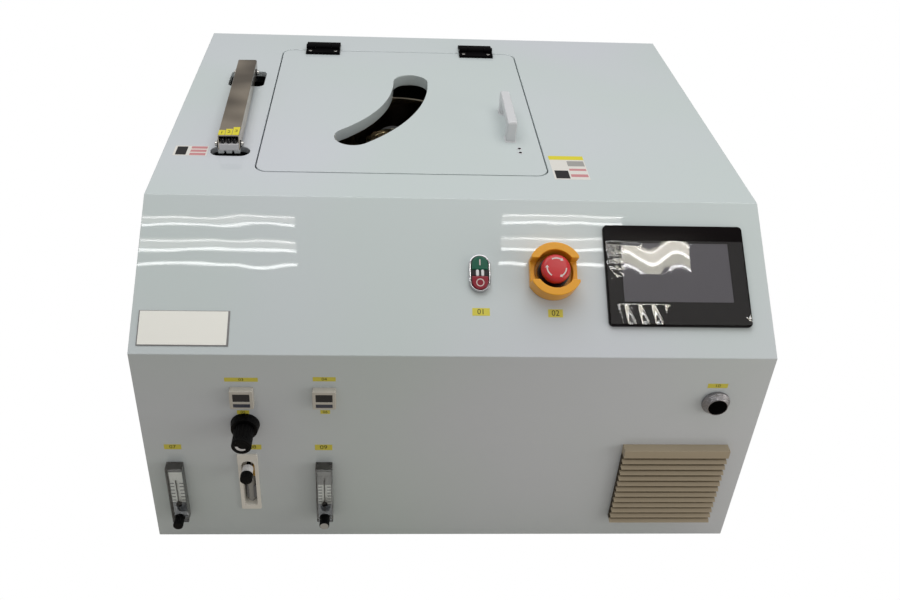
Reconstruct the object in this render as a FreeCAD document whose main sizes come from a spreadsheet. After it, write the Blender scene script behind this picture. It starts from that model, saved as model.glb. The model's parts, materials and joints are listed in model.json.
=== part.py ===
import FreeCAD, Part
import Sketcher
import os
import re

# A benchtop wafer developer: a welded plastic cabinet with a hinged lid over a spin bowl,
# a dispense arm that swings its nozzles along an arc slot in the lid, and its controls.
# Right-handed frame: x to the operator's right, y to the rear, z up, floor centre at the origin.

doc = FreeCAD.newDocument("wafer_developer")
sheet = doc.addObject("Spreadsheet::Sheet", "Sizes")

# Driving sizes in millimetres and degrees.
SIZES = {
    # Cabinet
    "cabinet_width": 880,
    "cabinet_depth": 800,
    "front_height": 365,
    "slope_run": 180,
    "slope_rise": 140,
    "sheet_thickness": 10,
    "base_thickness": 15,
    "foot_height": 12,
    "foot_radius": 22,
    "foot_inset": 60,
    "foot_stud_radius": 4,
    "foot_bevel": 2,
    "slack": 0.3,
    "running_fit": 0.05,
    "overrun": 1,
    # Lid and the opening below it
    "lid_width": 438.5,
    "lid_length": 471,
    "lid_thickness": 20,
    "lid_gap": 2,
    "lid_offset": 52.5,
    "lid_centre_y": 86.5,
    "lid_corner": 18,
    "seat_rim": 10,
    "seat_ledge": 12,
    "seat_height": 20,
    "gasket_width": 8,
    "gasket_thickness": 2,
    "hinge_width": 64,
    "hinge_spread": 292.3,
    "hinge_offset": 0.9,
    "hinge_set_back": 3,
    "knuckle_radius": 6,
    "knuckle_width": 30,
    "hinge_pin_radius": 2.5,
    "leaf_thickness": 5,
    "lid_leaf_length": 23.5,
    "body_leaf_length": 28,
    "leaf_screw_spread": 47.4,
    "leaf_screw_set_back": 15,
    "leaf_screw_radius": 3.6,
    "handle_inset": 45,
    "handle_y": 17,
    "handle_length": 120,
    "handle_width": 15,
    "handle_height": 36,
    "handle_grip": 12,
    "handle_leg": 20,
    "handle_edge": 1.9,
    "magnet_inset": 34,
    "magnet_y": -72,
    "magnet_length": 26,
    "magnet_width": 16,
    "magnet_height": 6,
    "magnet_screw_pitch": 13.4,
    "magnet_screw_radius": 2.6,
    "interlock_gap": 4,
    "interlock_height": 12,
    # Arc slot and dispense arm
    "pivot_inset": 94,
    "pivot_y": 184,
    "slot_inner_radius": 260,
    "slot_width": 61,
    "slot_sweep": 48,
    "arm_hole_width": 62,
    "arm_hole_length": 65,
    "arm_hole_corner": 10,
    "parking_length": 60,
    "parking_width": 30,
    "parking_cup_depth": 40,
    "parking_cup_wall": 2,
    "arm_rest_angle": 1.6,
    "nozzle_reach": 279,
    "nozzle_size": 9,
    "nozzle_pitch": 12,
    "nozzle_drop": 5,
    "nozzle_hover": 1,
    "block_width": 29.4,
    "block_length": 28,
    "block_height": 11,
    "cover_width": 33,
    "cover_top": 30,
    "cover_wall": 1.5,
    "cover_tail": 13,
    "cover_screw_radius": 4,
    "cover_screw_height": 3.2,
    "cover_screw_set_back": 10,
    "beam_width": 22,
    "beam_height": 8,
    "beam_level": 9,
    "hub_radius": 11.2,
    "hub_bottom": 6,
    "hub_height": 13,
    "manifold_height": 7,
    "tube_radius": 3,
    "tube_bend": 5,
    "tube_pitch": 9,
    "swing_shaft_radius": 7,
    "collar_drop": 65,
    "collar_height": 10,
    "lift_tube_radius": 14,
    "lift_tube_length": 165,
    "lift_body_size": 56,
    "lift_body_length": 150,
    "lift_flange": 80,
    "lift_flange_thickness": 8,
    "lift_clearance": 4,
    # Spin bowl and its drive
    "deck_drop": 100,
    "deck_front": -205,
    "chuck_y": 87,
    "bowl_radius": 150,
    "bowl_wall": 2,
    "bowl_lip": 12,
    "bowl_rise": 36,
    "bowl_depth": 88,
    "bowl_flange": 25,
    "gutter_width": 45,
    "cone_rise": 20,
    "bowl_hub_radius": 45,
    "bowl_hub_rise": 56,
    "chuck_radius": 50,
    "chuck_thickness": 8,
    "chuck_skirt": 22,
    "chuck_level": 30,
    "chuck_bevel": 1,
    "chuck_skirt_wall": 2,
    "chuck_grooves": 4,
    "chuck_groove_pitch": 10,
    "chuck_groove_width": 2,
    "chuck_groove_depth": 1.5,
    "chuck_boss_radius": 16,
    "spindle_radius": 8,
    "spindle_housing_radius": 30,
    "spindle_housing_height": 88,
    "spindle_housing_flare": 12,
    "motor_plate_size": 320,
    "motor_plate_thickness": 10,
    "motor_plate_drop": 105,
    "motor_post_radius": 10,
    "motor_post_spread": 290,
    "motor_size": 80,
    "motor_length": 100,
    "motor_socket": 25,
    "motor_corner": 8,
    "encoder_radius": 26,
    "encoder_length": 25,
    "duct_radius": 37.5,
    "duct_wall": 2.5,
    "duct_drop": 150,
    "port_reach": 44,
    "port_collar_rise": 5,
    "port_collar_thickness": 4,
    "drain_radius": 12.5,
    "drain_wall": 2.5,
    "drain_offset": 127,
    "drain_bend": 40,
    "drain_level": 205,
    "drain_clearance": 2,
    # Operator panel on the slope
    "panel_inset": 131,
    "panel_rise": 116.2,
    "panel_width": 200.4,
    "panel_height": 146.5,
    "panel_proud": 6,
    "panel_corner": 6,
    "panel_edge": 1.5,
    "panel_hole_gap": 1,
    "panel_housing_margin": 6,
    "panel_housing_depth": 38,
    "display_width": 154.1,
    "display_height": 85.9,
    "display_shift": 4,
    "display_thickness": 1.2,
    "power_inset": 408,
    "power_rise": 116,
    "power_width": 30,
    "power_length": 54,
    "power_proud": 6,
    "power_well_depth": 5,
    "button_width": 23,
    "button_start": 4.5,
    "button_centre": 12.5,
    "button_travel": 3,
    "button_thickness": 3.2,
    "mounting_radius": 11,
    "contact_size": 36,
    "contact_depth": 40,
    "stop_inset": 306,
    "stop_rise": 117,
    "guard_width": 66,
    "guard_length": 76,
    "guard_height": 30,
    "guard_floor": 4,
    "guard_hollow_radius": 27,
    "guard_notch": 30,
    "guard_notch_floor": 12,
    "stop_flange_radius": 22,
    "stop_flange_height": 8,
    "stop_plunger_radius": 8,
    "stop_head_radius": 20,
    "stop_head_bottom": 19,
    "stop_head_height": 15,
    "stop_head_round": 5,
    "stop_head_flare": 4,
    "stop_head_shoulder": 1.5,
    "stop_head_shoulder_drop": 2,
    "stop_travel": 6,
    # Gauges on the front
    "sensor_left_inset": 146.2,
    "sensor_right_inset": 259.3,
    "sensor_rise": 291.4,
    "sensor_size": 32.4,
    "sensor_proud": 10,
    "sensor_corner": 2,
    "sensor_edge": 1,
    "sensor_window_width": 23.3,
    "sensor_window_height": 13.6,
    "sensor_window_shift": 4.5,
    "sensor_window_depth": 1,
    "sensor_keys_height": 6.5,
    "sensor_keys_shift": 9.7,
    "sensor_keys_depth": 0.5,
    "sensor_body_size": 30,
    "sensor_body_depth": 25,
    "regulator_inset": 147,
    "regulator_rise": 237.5,
    "regulator_ring_radius": 20.6,
    "regulator_ring_height": 12,
    "regulator_ring_taper": 2,
    "regulator_neck_radius": 15,
    "regulator_body_size": 50,
    "regulator_body_depth": 60,
    "regulator_knob_radius": 14,
    "regulator_knob_reach": 44,
    "regulator_stem_radius": 5,
    "regulator_stem_length": 12,
    "regulator_ribs": 18,
    "regulator_rib_radius": 1.2,
    "regulator_rib_shift": 0.5,
    "regulator_rib_end": 5,
    "flow_inset": 145.7,
    "flow_rise": 120.5,
    "flow_width": 29.5,
    "flow_height": 115.7,
    "flow_flange": 3,
    "flow_corner": 2,
    "flow_edge": 1,
    "flow_window_width": 19.3,
    "flow_window_height": 94,
    "flow_window_shift": 2,
    "flow_window_corner": 4,
    "flow_back_side": 1,
    "flow_back_end": 2,
    "flow_body_depth": 32,
    "flow_pocket_depth": 20,
    "flow_tube_radius": 6,
    "flow_tube_height": 64,
    "flow_knob_radius": 9,
    "flow_knob_rise": 152,
    "flow_knob_reach": 27,
    "flow_knob_gap": 2,
    "flow_boss_wall": 1.5,
    "flow_stem_radius": 4,
    "meter_left_inset": 40.5,
    "meter_right_inset": 256.2,
    "meter_rise": 104,
    "meter_width": 24.5,
    "meter_height": 114,
    "meter_proud": 15,
    "meter_corner": 1.5,
    "meter_edge": 1,
    "meter_bore_radius": 4.4,
    "meter_bore_height": 72,
    "meter_bore_shift": 12,
    "meter_knob_rise": 60,
    "meter_knob_radius": 7.4,
    "meter_knob_reach": 33,
    "meter_stem_radius": 3,
    "meter_port_radius": 6,
    "meter_port_length": 30,
    "float_height": 8,
    "float_skirt_height": 3.2,
    "buzzer_inset": 70,
    "buzzer_rise": 284.5,
    "buzzer_radius": 19.75,
    "buzzer_proud": 8,
    "buzzer_taper": 2,
    "buzzer_cap_radius": 13.2,
    "buzzer_cap_proud": 12,
    # Ventilation
    "grille_inset": 110.5,
    "grille_rise": 122,
    "grille_size": 155,
    "grille_proud": 14,
    "grille_header": 13,
    "grille_frame": 4,
    "louvre_pitch": 11.6,
    "louvre_count": 12,
    "louvre_thickness": 2.2,
    "spigot_size": 124,
    "spigot_wall": 3,
    "spigot_depth": 12,
    "fan_size": 120,
    "fan_depth": 38,
    "fan_bore_radius": 56,
    "fan_corner": 4,
    "fan_back_wall": 4,
    "fan_boss_height": 6,
    "fan_axle_radius": 3,
    "fan_vents": 4,
    "fan_vent_start": 45,
    "fan_vent_sweep": 76,
    "fan_vent_margin": 3,
    "fan_blade_radius": 52,
    "fan_blade_inset": 0.5,
    "fan_hub_radius": 20,
    "fan_rotor_depth": 26,
    "fan_blades": 7,
    "fan_blade_thickness": 2,
    "fan_blade_pitch": 40,
    # Rear fittings and what stands on the base
    "fitting_inset": 220,
    "fitting_pitch": 40,
    "fitting_rise": 300,
    "fitting_radius": 9,
    "fitting_bore_radius": 4,
    "socket_depth": 18,
    "fitting_proud": 22,
    "fitting_thread_radius": 6,
    "gland_inset": 80,
    "gland_rise": 60,
    "gland_radius": 13,
    "gland_tip_radius": 9.8,
    "gland_thread_radius": 9.1,
    "gland_nut_height": 8,
    "gland_bore_radius": 5,
    "control_box_inset": 230,
    "control_box_y": 150,
    "control_box_width": 300,
    "control_box_length": 240,
    "control_box_height": 110,
    "box_cover_overlap": 2,
    "box_cover_thickness": 3,
    "valve_block_inset": 190,
    "valve_block_y": -150,
    "valve_block_width": 150,
    "valve_block_length": 50,
    "valve_block_height": 30,
    "solenoid_radius": 14,
    "solenoid_height": 50,
}

for row, (name, number) in enumerate(SIZES.items(), start=1):
    sheet.set("A%d" % row, name)
    sheet.set("B%d" % row, str(number))
    sheet.setAlias("B%d" % row, name)
doc.recompute()


# Places across the cabinet, each kept from the side that its piece stands near.
PLACES = {
    "pivot_x": "(pivot_inset - cabinet_width / 2)",
    "panel_x": "(cabinet_width / 2 - panel_inset)",
    "power_x": "(cabinet_width / 2 - power_inset)",
    "stop_x": "(cabinet_width / 2 - stop_inset)",
    "sensor_left_x": "(sensor_left_inset - cabinet_width / 2)",
    "sensor_right_x": "(sensor_right_inset - cabinet_width / 2)",
    "regulator_x": "(regulator_inset - cabinet_width / 2)",
    "flow_x": "(flow_inset - cabinet_width / 2)",
    "meter_left_x": "(meter_left_inset - cabinet_width / 2)",
    "meter_right_x": "(meter_right_inset - cabinet_width / 2)",
    "buzzer_x": "(cabinet_width / 2 - buzzer_inset)",
    "grille_x": "(cabinet_width / 2 - grille_inset)",
    "fitting_x": "(cabinet_width / 2 - fitting_inset)",
    "gland_x": "(cabinet_width / 2 - gland_inset)",
    "control_box_x": "(cabinet_width / 2 - control_box_inset)",
    "valve_block_x": "(valve_block_inset - cabinet_width / 2)",
    "lid_centre_x": "(pivot_inset - cabinet_width / 2 + lid_offset + lid_width / 2)",
}


def full(text):
    """Writes out the places in an expression, then every size as its cell in the sheet."""
    text = re.sub(r"[a-z][a-z_]*", lambda word: PLACES.get(word[0], word[0]), text)
    return re.sub(r"[a-z][a-z_]*", lambda word: "Sizes." + word[0] if word[0] in SIZES else word[0], text)


def value(text):
    """Works out an expression as a plain number."""
    found = sheet.evalExpression(full(text))
    return float(getattr(found, "Value", found))


# Levels and places that several pieces share.
TOP = "(foot_height + front_height + slope_rise)"
SLOPE = "atan(slope_rise / slope_run)"
FRONT = "(-cabinet_depth / 2)"
REAR = "(cabinet_depth / 2)"
INSIDE = "(cabinet_width - 2 * sheet_thickness)"
FLOOR = "(foot_height + base_thickness)"
LID_LEFT = "(lid_centre_x - lid_width / 2)"
LID_RIGHT = "(lid_centre_x + lid_width / 2)"
LID_FRONT = "(lid_centre_y - lid_length / 2)"
LID_REAR = "(lid_centre_y + lid_length / 2)"
HINGE_Y = "(lid_centre_y + lid_length / 2 + hinge_set_back)"
HINGE_Z = "(foot_height + front_height + slope_rise + knuckle_radius)"
CHUCK_X = "(pivot_x + sqrt(nozzle_reach ^ 2 - (pivot_y - chuck_y) ^ 2))"
DECK = "(foot_height + front_height + slope_rise - deck_drop)"
UNDER_DECK = "(foot_height + front_height + slope_rise - deck_drop - sheet_thickness)"
MOTOR_PLATE = "(%s - motor_plate_drop)" % UNDER_DECK

# How near an edge lies to a level for a test to pick it.
NEAR = 1e-4

ALONG_X = ((0, 1, 0), "90")
ALONG_Y = ((1, 0, 0), "-90")


def put(thing, spot, turn=None):
    """Binds a piece's place, and its turn about an axis, to expressions."""
    if turn:
        thing.Placement.Rotation = FreeCAD.Rotation(FreeCAD.Vector(*turn[0]), value(turn[1]))
        thing.setExpression(".Placement.Rotation.Angle", full(turn[1]))
    for letter, text in zip("xyz", spot):
        thing.setExpression(".Placement.Base." + letter, full(text))
    return thing


def on_slope(thing):
    """Carries a piece from x, distance up the slope, height off it to its place on the slope."""
    return put(thing, ("0", FRONT, "foot_height + front_height"), ((1, 0, 0), SLOPE))


def on_front(thing):
    """Carries a piece from x, height, distance out to its place on the front."""
    return put(thing, ("0", FRONT, "foot_height"), ((1, 0, 0), "90"))


def on_rear(thing):
    """Carries a piece from leftward x, height, distance out to its place on the rear."""
    return put(thing, ("0", REAR, "foot_height"), ((0, 1, 1), "180"))


def on_arm(thing):
    """Carries a piece from the arm's own frame, pivot at its origin, to its parked place."""
    return put(thing, ("pivot_x", "pivot_y", TOP), ((0, 0, 1), "arm_rest_angle"))


def box(name, low, size, turn=None):
    """Makes a block from its low corner."""
    thing = doc.addObject("Part::Box", name)
    for side, text in zip(("Length", "Width", "Height"), size):
        thing.setExpression(side, full(text))
    return put(thing, low, turn)


def block(name, centre, size):
    """Makes a block that stands centred on x and y, with its bottom at the third coordinate."""
    low = ["%s - (%s) / 2" % (middle, side) for middle, side in zip(centre[:2], size[:2])]
    return box(name, low + [centre[2]], size)


def rod(name, start, radius, length, turn=None):
    """Makes a cylinder from the centre of its first end."""
    thing = doc.addObject("Part::Cylinder", name)
    thing.setExpression("Radius", full(radius))
    thing.setExpression("Height", full(length))
    return put(thing, start, turn)


def cone(name, start, first, last, length, turn=None):
    """Makes a tapered cylinder."""
    thing = doc.addObject("Part::Cone", name)
    thing.setExpression("Radius1", full(first))
    thing.setExpression("Radius2", full(last))
    thing.setExpression("Height", full(length))
    return put(thing, start, turn)


def fused(name, *pieces):
    """Joins overlapping or touching shapes into one solid."""
    thing = doc.addObject("Part::MultiFuse", name)
    thing.Shapes = list(pieces)
    thing.Refine = True
    return thing


def group(name, *pieces):
    """Keeps several separate solids in one piece's file."""
    thing = doc.addObject("Part::Compound", name)
    thing.Links = list(pieces)
    return thing


def cut(name, base, *tools):
    """Takes the tools' volume away from the base."""
    thing = doc.addObject("Part::Cut", name)
    thing.Base = base
    thing.Tool = tools[0] if len(tools) == 1 else fused(name + "_tools", *tools)
    thing.Refine = True
    return thing


def common(name, first, second):
    """Keeps what two shapes share."""
    thing = doc.addObject("Part::MultiCommon", name)
    thing.Shapes = [first, second]
    return thing


def drawing(owner, plane, name, offset="0"):
    """Opens a sketch on one of the body's own planes, moved off it by an expression."""
    page = owner.newObject("Sketcher::SketchObject", name)
    for feature in owner.Origin.OriginFeatures:
        if feature.Role == plane:
            page.AttachmentSupport = (feature, [""])
    page.MapMode = "FlatFace"
    page.setExpression(".AttachmentOffset.Base.z", full(offset))
    return page


def outline(page, points):
    """Draws a closed run of straight lines whose corners are pairs of expressions."""
    spots = [FreeCAD.Vector(value(across), value(up), 0) for across, up in points]
    first = page.GeometryCount
    count = len(spots)
    for index in range(count):
        page.addGeometry(Part.LineSegment(spots[index], spots[(index + 1) % count]))
    for index in range(count):
        after = first + (index + 1) % count
        page.addConstraint(Sketcher.Constraint("Coincident", first + index, 2, after, 1))
    for index, pair in enumerate(points):
        for kind, text in zip(("DistanceX", "DistanceY"), pair):
            rule = Sketcher.Constraint(kind, -1, 1, first + index, 1, value(text))
            page.setExpression("Constraints[%d]" % page.addConstraint(rule), full(text))
    return page


def rectangle(page, left, low, right, high):
    """Draws a rectangle between four expressions."""
    return outline(page, [(left, low), (right, low), (right, high), (left, high)])


def pad(owner, page, length, name="Pad"):
    """Raises a sketch off its plane."""
    thing = owner.newObject("PartDesign::Pad", name)
    thing.Profile = page
    thing.setExpression("Length", full(length))
    return thing


def round_edges(owner, feature, chosen, radius, kind="Fillet"):
    """Rounds or chamfers the edges of a feature that a test picks out."""
    doc.recompute()
    names = ["Edge%d" % number for number, edge in enumerate(feature.Shape.Edges, start=1) if chosen(edge)]
    thing = owner.newObject("PartDesign::" + kind, kind)
    thing.Base = (feature, names)
    thing.setExpression("Radius" if kind == "Fillet" else "Size", full(radius))
    return thing


def upright(edge):
    """Picks straight edges along the body's own z."""
    ends = [vertex.Point for vertex in edge.Vertexes]
    return len(ends) == 2 and abs(abs((ends[1] - ends[0]).normalize().z) - 1) < NEAR


def at_height(level):
    """Makes a test that picks the edges lying wholly at one height."""
    return lambda edge: max(abs(edge.BoundBox.ZMin - level), abs(edge.BoundBox.ZMax - level)) < NEAR


def slab(name, left, low, right, high, bottom, thickness, corner=None, edge=None):
    """Makes a flat plate with rounded corners and, where asked, a rounded top edge."""
    owner = doc.addObject("PartDesign::Body", name)
    page = rectangle(drawing(owner, "XY_Plane", name + "_outline", bottom), left, low, right, high)
    plate = pad(owner, page, thickness)
    if corner:
        plate = round_edges(owner, plate, upright, corner)
    if edge:
        top = value(bottom) + value(thickness)
        round_edges(owner, plate, at_height(top), edge)
    return owner


def turned(name, points, spot=("0", "0", "0"), turn=None):
    """Turns a closed profile of radius and height pairs into a round solid about z."""
    owner = doc.addObject("PartDesign::Body", name)
    page = outline(drawing(owner, "XZ_Plane", name + "_profile"), points)
    thing = owner.newObject("PartDesign::Revolution", "Revolution")
    thing.Profile = page
    thing.ReferenceAxis = (page, ["V_Axis"])
    thing.Angle = 360
    return put(owner, spot, turn)


def extruded(name, points, start, length):
    """Carries a profile of y and z pairs along x."""
    owner = doc.addObject("PartDesign::Body", name)
    page = outline(drawing(owner, "YZ_Plane", name + "_profile", start), points)
    pad(owner, page, length)
    return owner


def stadium(name, centre, bottom, width, length, height, along="x"):
    """Makes a slot-shaped block, round at both ends, its length along x or y."""
    half = "((%s) - (%s)) / 2" % (length, width)
    shift = (half, "0") if along == "x" else ("0", half)
    ends = []
    for sign in ("-", "+"):
        spot = ["%s %s %s" % (centre[axis], sign, shift[axis]) for axis in range(2)]
        ends.append(rod("%s_end" % name, spot + [bottom], "(%s) / 2" % width, height))
    straight = "(%s) - (%s)" % (length, width)
    size = (straight, width, height) if along == "x" else (width, straight, height)
    return fused(name, *ends, block("%s_middle" % name, list(centre) + [bottom], size))


pieces = {}


def piece(name, thing):
    """Names a finished sub-part, which names its file too."""
    thing.Label = name
    pieces[name] = thing
    return thing


# Cabinet: polypropylene sheets between two side walls, mitred where they meet.
FOLD_LOW = "sheet_thickness * tan((90 deg - %s) / 2)" % SLOPE
FOLD_HIGH = "sheet_thickness * tan(%s / 2)" % SLOPE
BROW = "(foot_height + front_height)"
BROW_Y = "(slope_run - cabinet_depth / 2)"
SLOPE_IN_Y = "(%s + %s)" % (FRONT, "sheet_thickness")
CORNER_LOW = (FRONT, BROW)
CORNER_LOW_IN = (SLOPE_IN_Y, "%s - %s" % (BROW, FOLD_LOW))
CORNER_HIGH = (BROW_Y, TOP)
CORNER_HIGH_IN = ("%s + %s" % (BROW_Y, FOLD_HIGH), "%s - sheet_thickness" % TOP)


def side_panel(name, start):
    """One side wall, cut to the cabinet's outline."""
    profile = [(FRONT, "foot_height"), CORNER_LOW, CORNER_HIGH, (REAR, TOP), (REAR, "foot_height")]
    return extruded(name, profile, start, "sheet_thickness")


piece("side_panels", group(
    "side_panels",
    side_panel("left_side", "-cabinet_width / 2"),
    side_panel("right_side", "cabinet_width / 2 - sheet_thickness"),
))

foot_spots = [("%scabinet_width / 2 %s foot_inset" % pair_x, "%scabinet_depth / 2 %s foot_inset" % pair_y)
              for pair_x in (("-", "+"), ("", "-")) for pair_y in (("-", "+"), ("", "-"))]
feet = []
foot_holes = []
for place in foot_spots:
    profile = [("0", "0"), ("foot_radius - foot_bevel", "0"), ("foot_radius", "foot_bevel"),
               ("foot_radius", "foot_height / 2"),
               ("foot_radius / 2", "foot_height"), ("foot_stud_radius", "foot_height"),
               ("foot_stud_radius", "foot_height + base_thickness"), ("0", "foot_height + base_thickness")]
    feet.append(turned("foot", profile, (place[0], place[1], "0")))
    foot_holes.append(rod("foot_hole", (place[0], place[1], "0"), "foot_stud_radius + slack", "2 * " + FLOOR))
piece("levelling_feet", group("levelling_feet", *feet))

base_sheet = block("base_sheet", ("0", "0", "foot_height"),
                   (INSIDE, "cabinet_depth - 2 * sheet_thickness", "base_thickness"))
piece("base_plate", cut("base_plate", base_sheet, *foot_holes))


# Lid opening, arm hole and parking slot in the top sheet.
def lid_outline(name, grow, bottom, thickness, corner):
    """A rounded plate that follows the lid's outline, larger all round by an expression."""
    return slab(name, "%s - (%s)" % (LID_LEFT, grow), "%s - (%s)" % (LID_FRONT, grow),
                "%s + (%s)" % (LID_RIGHT, grow), "%s + (%s)" % (LID_REAR, grow), bottom, thickness, corner)


PARKING_X = "(pivot_x + nozzle_reach * sin(arm_rest_angle * 1 deg))"
PARKING_Y = "(pivot_y - nozzle_reach * cos(arm_rest_angle * 1 deg) + parking_width / 2 - nozzle_size)"
top_sheet = extruded("top_sheet",
                     [CORNER_HIGH, (REAR, TOP), (REAR, "%s - sheet_thickness" % TOP), CORNER_HIGH_IN],
                     "-%s / 2" % INSIDE, INSIDE)
UNDER_TOP = "(%s - sheet_thickness)" % TOP
through_top = "2 * sheet_thickness"
below_top = "%s - 1.5 * sheet_thickness" % TOP
arm_hole = slab("arm_hole", "pivot_x - arm_hole_width / 2", "pivot_y - arm_hole_length / 2",
                "pivot_x + arm_hole_width / 2", "pivot_y + arm_hole_length / 2",
                below_top, through_top, "arm_hole_corner")
parking_hole = stadium("parking_hole", (PARKING_X, PARKING_Y), below_top,
                       "parking_width", "parking_length", through_top)
lid_hole = lid_outline("lid_hole", "lid_gap", below_top, through_top, "lid_corner + lid_gap")
piece("top_panel", cut("top_panel", top_sheet, lid_hole, arm_hole, parking_hole))

cup_outside = stadium("cup_outside", (PARKING_X, PARKING_Y), "%s - parking_cup_depth" % UNDER_TOP,
                      "parking_width + 2 * parking_cup_wall", "parking_length + 2 * parking_cup_wall",
                      "parking_cup_depth")
cup_inside = stadium("cup_inside", (PARKING_X, PARKING_Y),
                     "%s - parking_cup_depth + parking_cup_wall" % UNDER_TOP,
                     "parking_width", "parking_length", "parking_cup_depth")
piece("parking_cup", cut("parking_cup", cup_outside, cup_inside))

# Seat under the opening: a rebated frame with a soft gasket on its ledge.
SEAT_LEDGE_TOP = "(%s - lid_thickness - gasket_thickness - slack)" % TOP
SEAT_BOTTOM = "(%s - seat_height)" % UNDER_TOP
seat_block = lid_outline("seat_block", "lid_gap + seat_rim", SEAT_BOTTOM, "seat_height",
                         "lid_corner + seat_rim")
seat_window = lid_outline("seat_window", "lid_gap - seat_ledge", "%s - overrun" % SEAT_BOTTOM,
                          "seat_height + 2 * overrun", "lid_corner / 2")
seat_rebate = lid_outline("seat_rebate", "lid_gap", SEAT_LEDGE_TOP, "seat_height", "lid_corner + lid_gap")
piece("lid_seat_frame", cut("lid_seat_frame", seat_block, seat_window, seat_rebate))
gasket_outside = lid_outline("gasket_outside", "lid_gap - slack", SEAT_LEDGE_TOP, "gasket_thickness",
                              "lid_corner + lid_gap - slack")
gasket_inside = lid_outline("gasket_inside", "lid_gap - slack - gasket_width",
                            "%s - overrun" % SEAT_LEDGE_TOP,
                            "gasket_thickness + 2 * overrun", "lid_corner / 2")
piece("lid_gasket", cut("lid_gasket", gasket_outside, gasket_inside))

# Lid: a thick sheet with the arc slot that the nozzles reach through.
LID_BOTTOM = "(%s - lid_thickness)" % TOP
SLOT_OUTER = "(slot_inner_radius + slot_width)"
SLOT_MIDDLE = "(slot_inner_radius + slot_width / 2)"
lid_sheet = lid_outline("lid_sheet", "0", LID_BOTTOM, "lid_thickness", "lid_corner")
slot_low = "%s - overrun" % LID_BOTTOM
slot_high = "lid_thickness + 2 * overrun"


def sector(name, radius):
    """A pie slice about the arm's pivot, from the slot's rear end to its front end."""
    thing = rod(name, ("pivot_x", "pivot_y", slot_low), radius, slot_high, ((0, 0, -1), "slot_sweep"))
    thing.setExpression("Angle", full("slot_sweep"))
    return thing


slot_band = cut("slot_band", sector("slot_outside", SLOT_OUTER), sector("slot_inside", "slot_inner_radius"))
slot_rear = rod("slot_rear", ("pivot_x + " + SLOT_MIDDLE, "pivot_y", slot_low), "slot_width / 2", slot_high)
slot_front = rod("slot_front", ("pivot_x + %s * cos(slot_sweep * 1 deg)" % SLOT_MIDDLE,
                                "pivot_y - %s * sin(slot_sweep * 1 deg)" % SLOT_MIDDLE, slot_low),
                 "slot_width / 2", slot_high)
MAGNET_X = "(%s - magnet_inset)" % LID_RIGHT
magnet_screw_spots = ["magnet_y - magnet_screw_pitch / 2", "magnet_y + magnet_screw_pitch / 2"]
magnet_screw_holes = [rod("magnet_screw_hole", (MAGNET_X, place, slot_low),
                          "magnet_screw_radius + running_fit", slot_high) for place in magnet_screw_spots]
piece("lid_panel", cut("lid_panel", lid_sheet, slot_band, slot_rear, slot_front, *magnet_screw_holes))

# Lid handle: a white moulded bow.
handle_low = "handle_y - handle_length / 2"
handle_high = "handle_y + handle_length / 2"
handle_body = doc.addObject("PartDesign::Body", "handle_bow")
handle_page = outline(drawing(handle_body, "YZ_Plane", "handle_profile", "-handle_width / 2"), [
    (handle_low, TOP), (handle_low, TOP + " + handle_height"), (handle_high, TOP + " + handle_height"),
    (handle_high, TOP), (handle_high + " - handle_leg", TOP),
    (handle_high + " - handle_leg", TOP + " + handle_height - handle_grip"),
    (handle_low + " + handle_leg", TOP + " + handle_height - handle_grip"),
    (handle_low + " + handle_leg", TOP)])
handle_pad = pad(handle_body, handle_page, "handle_width")


def handle_shoulder(edge):
    """Picks the bow's two outer top edges."""
    span = edge.BoundBox
    outer = min(abs(span.YMin - value(handle_low)), abs(span.YMax - value(handle_high))) < NEAR
    return outer and span.XLength > NEAR and span.ZMin > value(TOP) + NEAR


handle_round = round_edges(handle_body, handle_pad, handle_shoulder, "handle_grip / 2")
round_edges(handle_body, handle_round, lambda edge: edge.BoundBox.XLength < NEAR
            and edge.BoundBox.ZMin > value(TOP) + NEAR
            and edge.BoundBox.ZMax > value(TOP + " + handle_height") - NEAR, "handle_edge")
put(handle_body, ("%s - handle_inset" % LID_RIGHT, "0", "0"))
piece("lid_handle", handle_body)

# Interlock: a magnet screwed under the lid over a sensor on the seat.
magnet_block = block("magnet_block", (MAGNET_X, "magnet_y", "%s - magnet_height" % LID_BOTTOM),
                     ("magnet_width", "magnet_length", "magnet_height"))
piece("interlock_magnet", magnet_block)
interlock_right = "(%s + lid_gap - seat_ledge / 2)" % LID_RIGHT
interlock_left = "(%s - magnet_width / 2)" % MAGNET_X
piece("interlock_sensor", box("interlock_sensor",
                              (interlock_left, "magnet_y - magnet_length / 2",
                               SEAT_BOTTOM + " - interlock_height"),
                              ("%s - %s" % (interlock_right, interlock_left), "magnet_length",
                               "interlock_height")))

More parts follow.
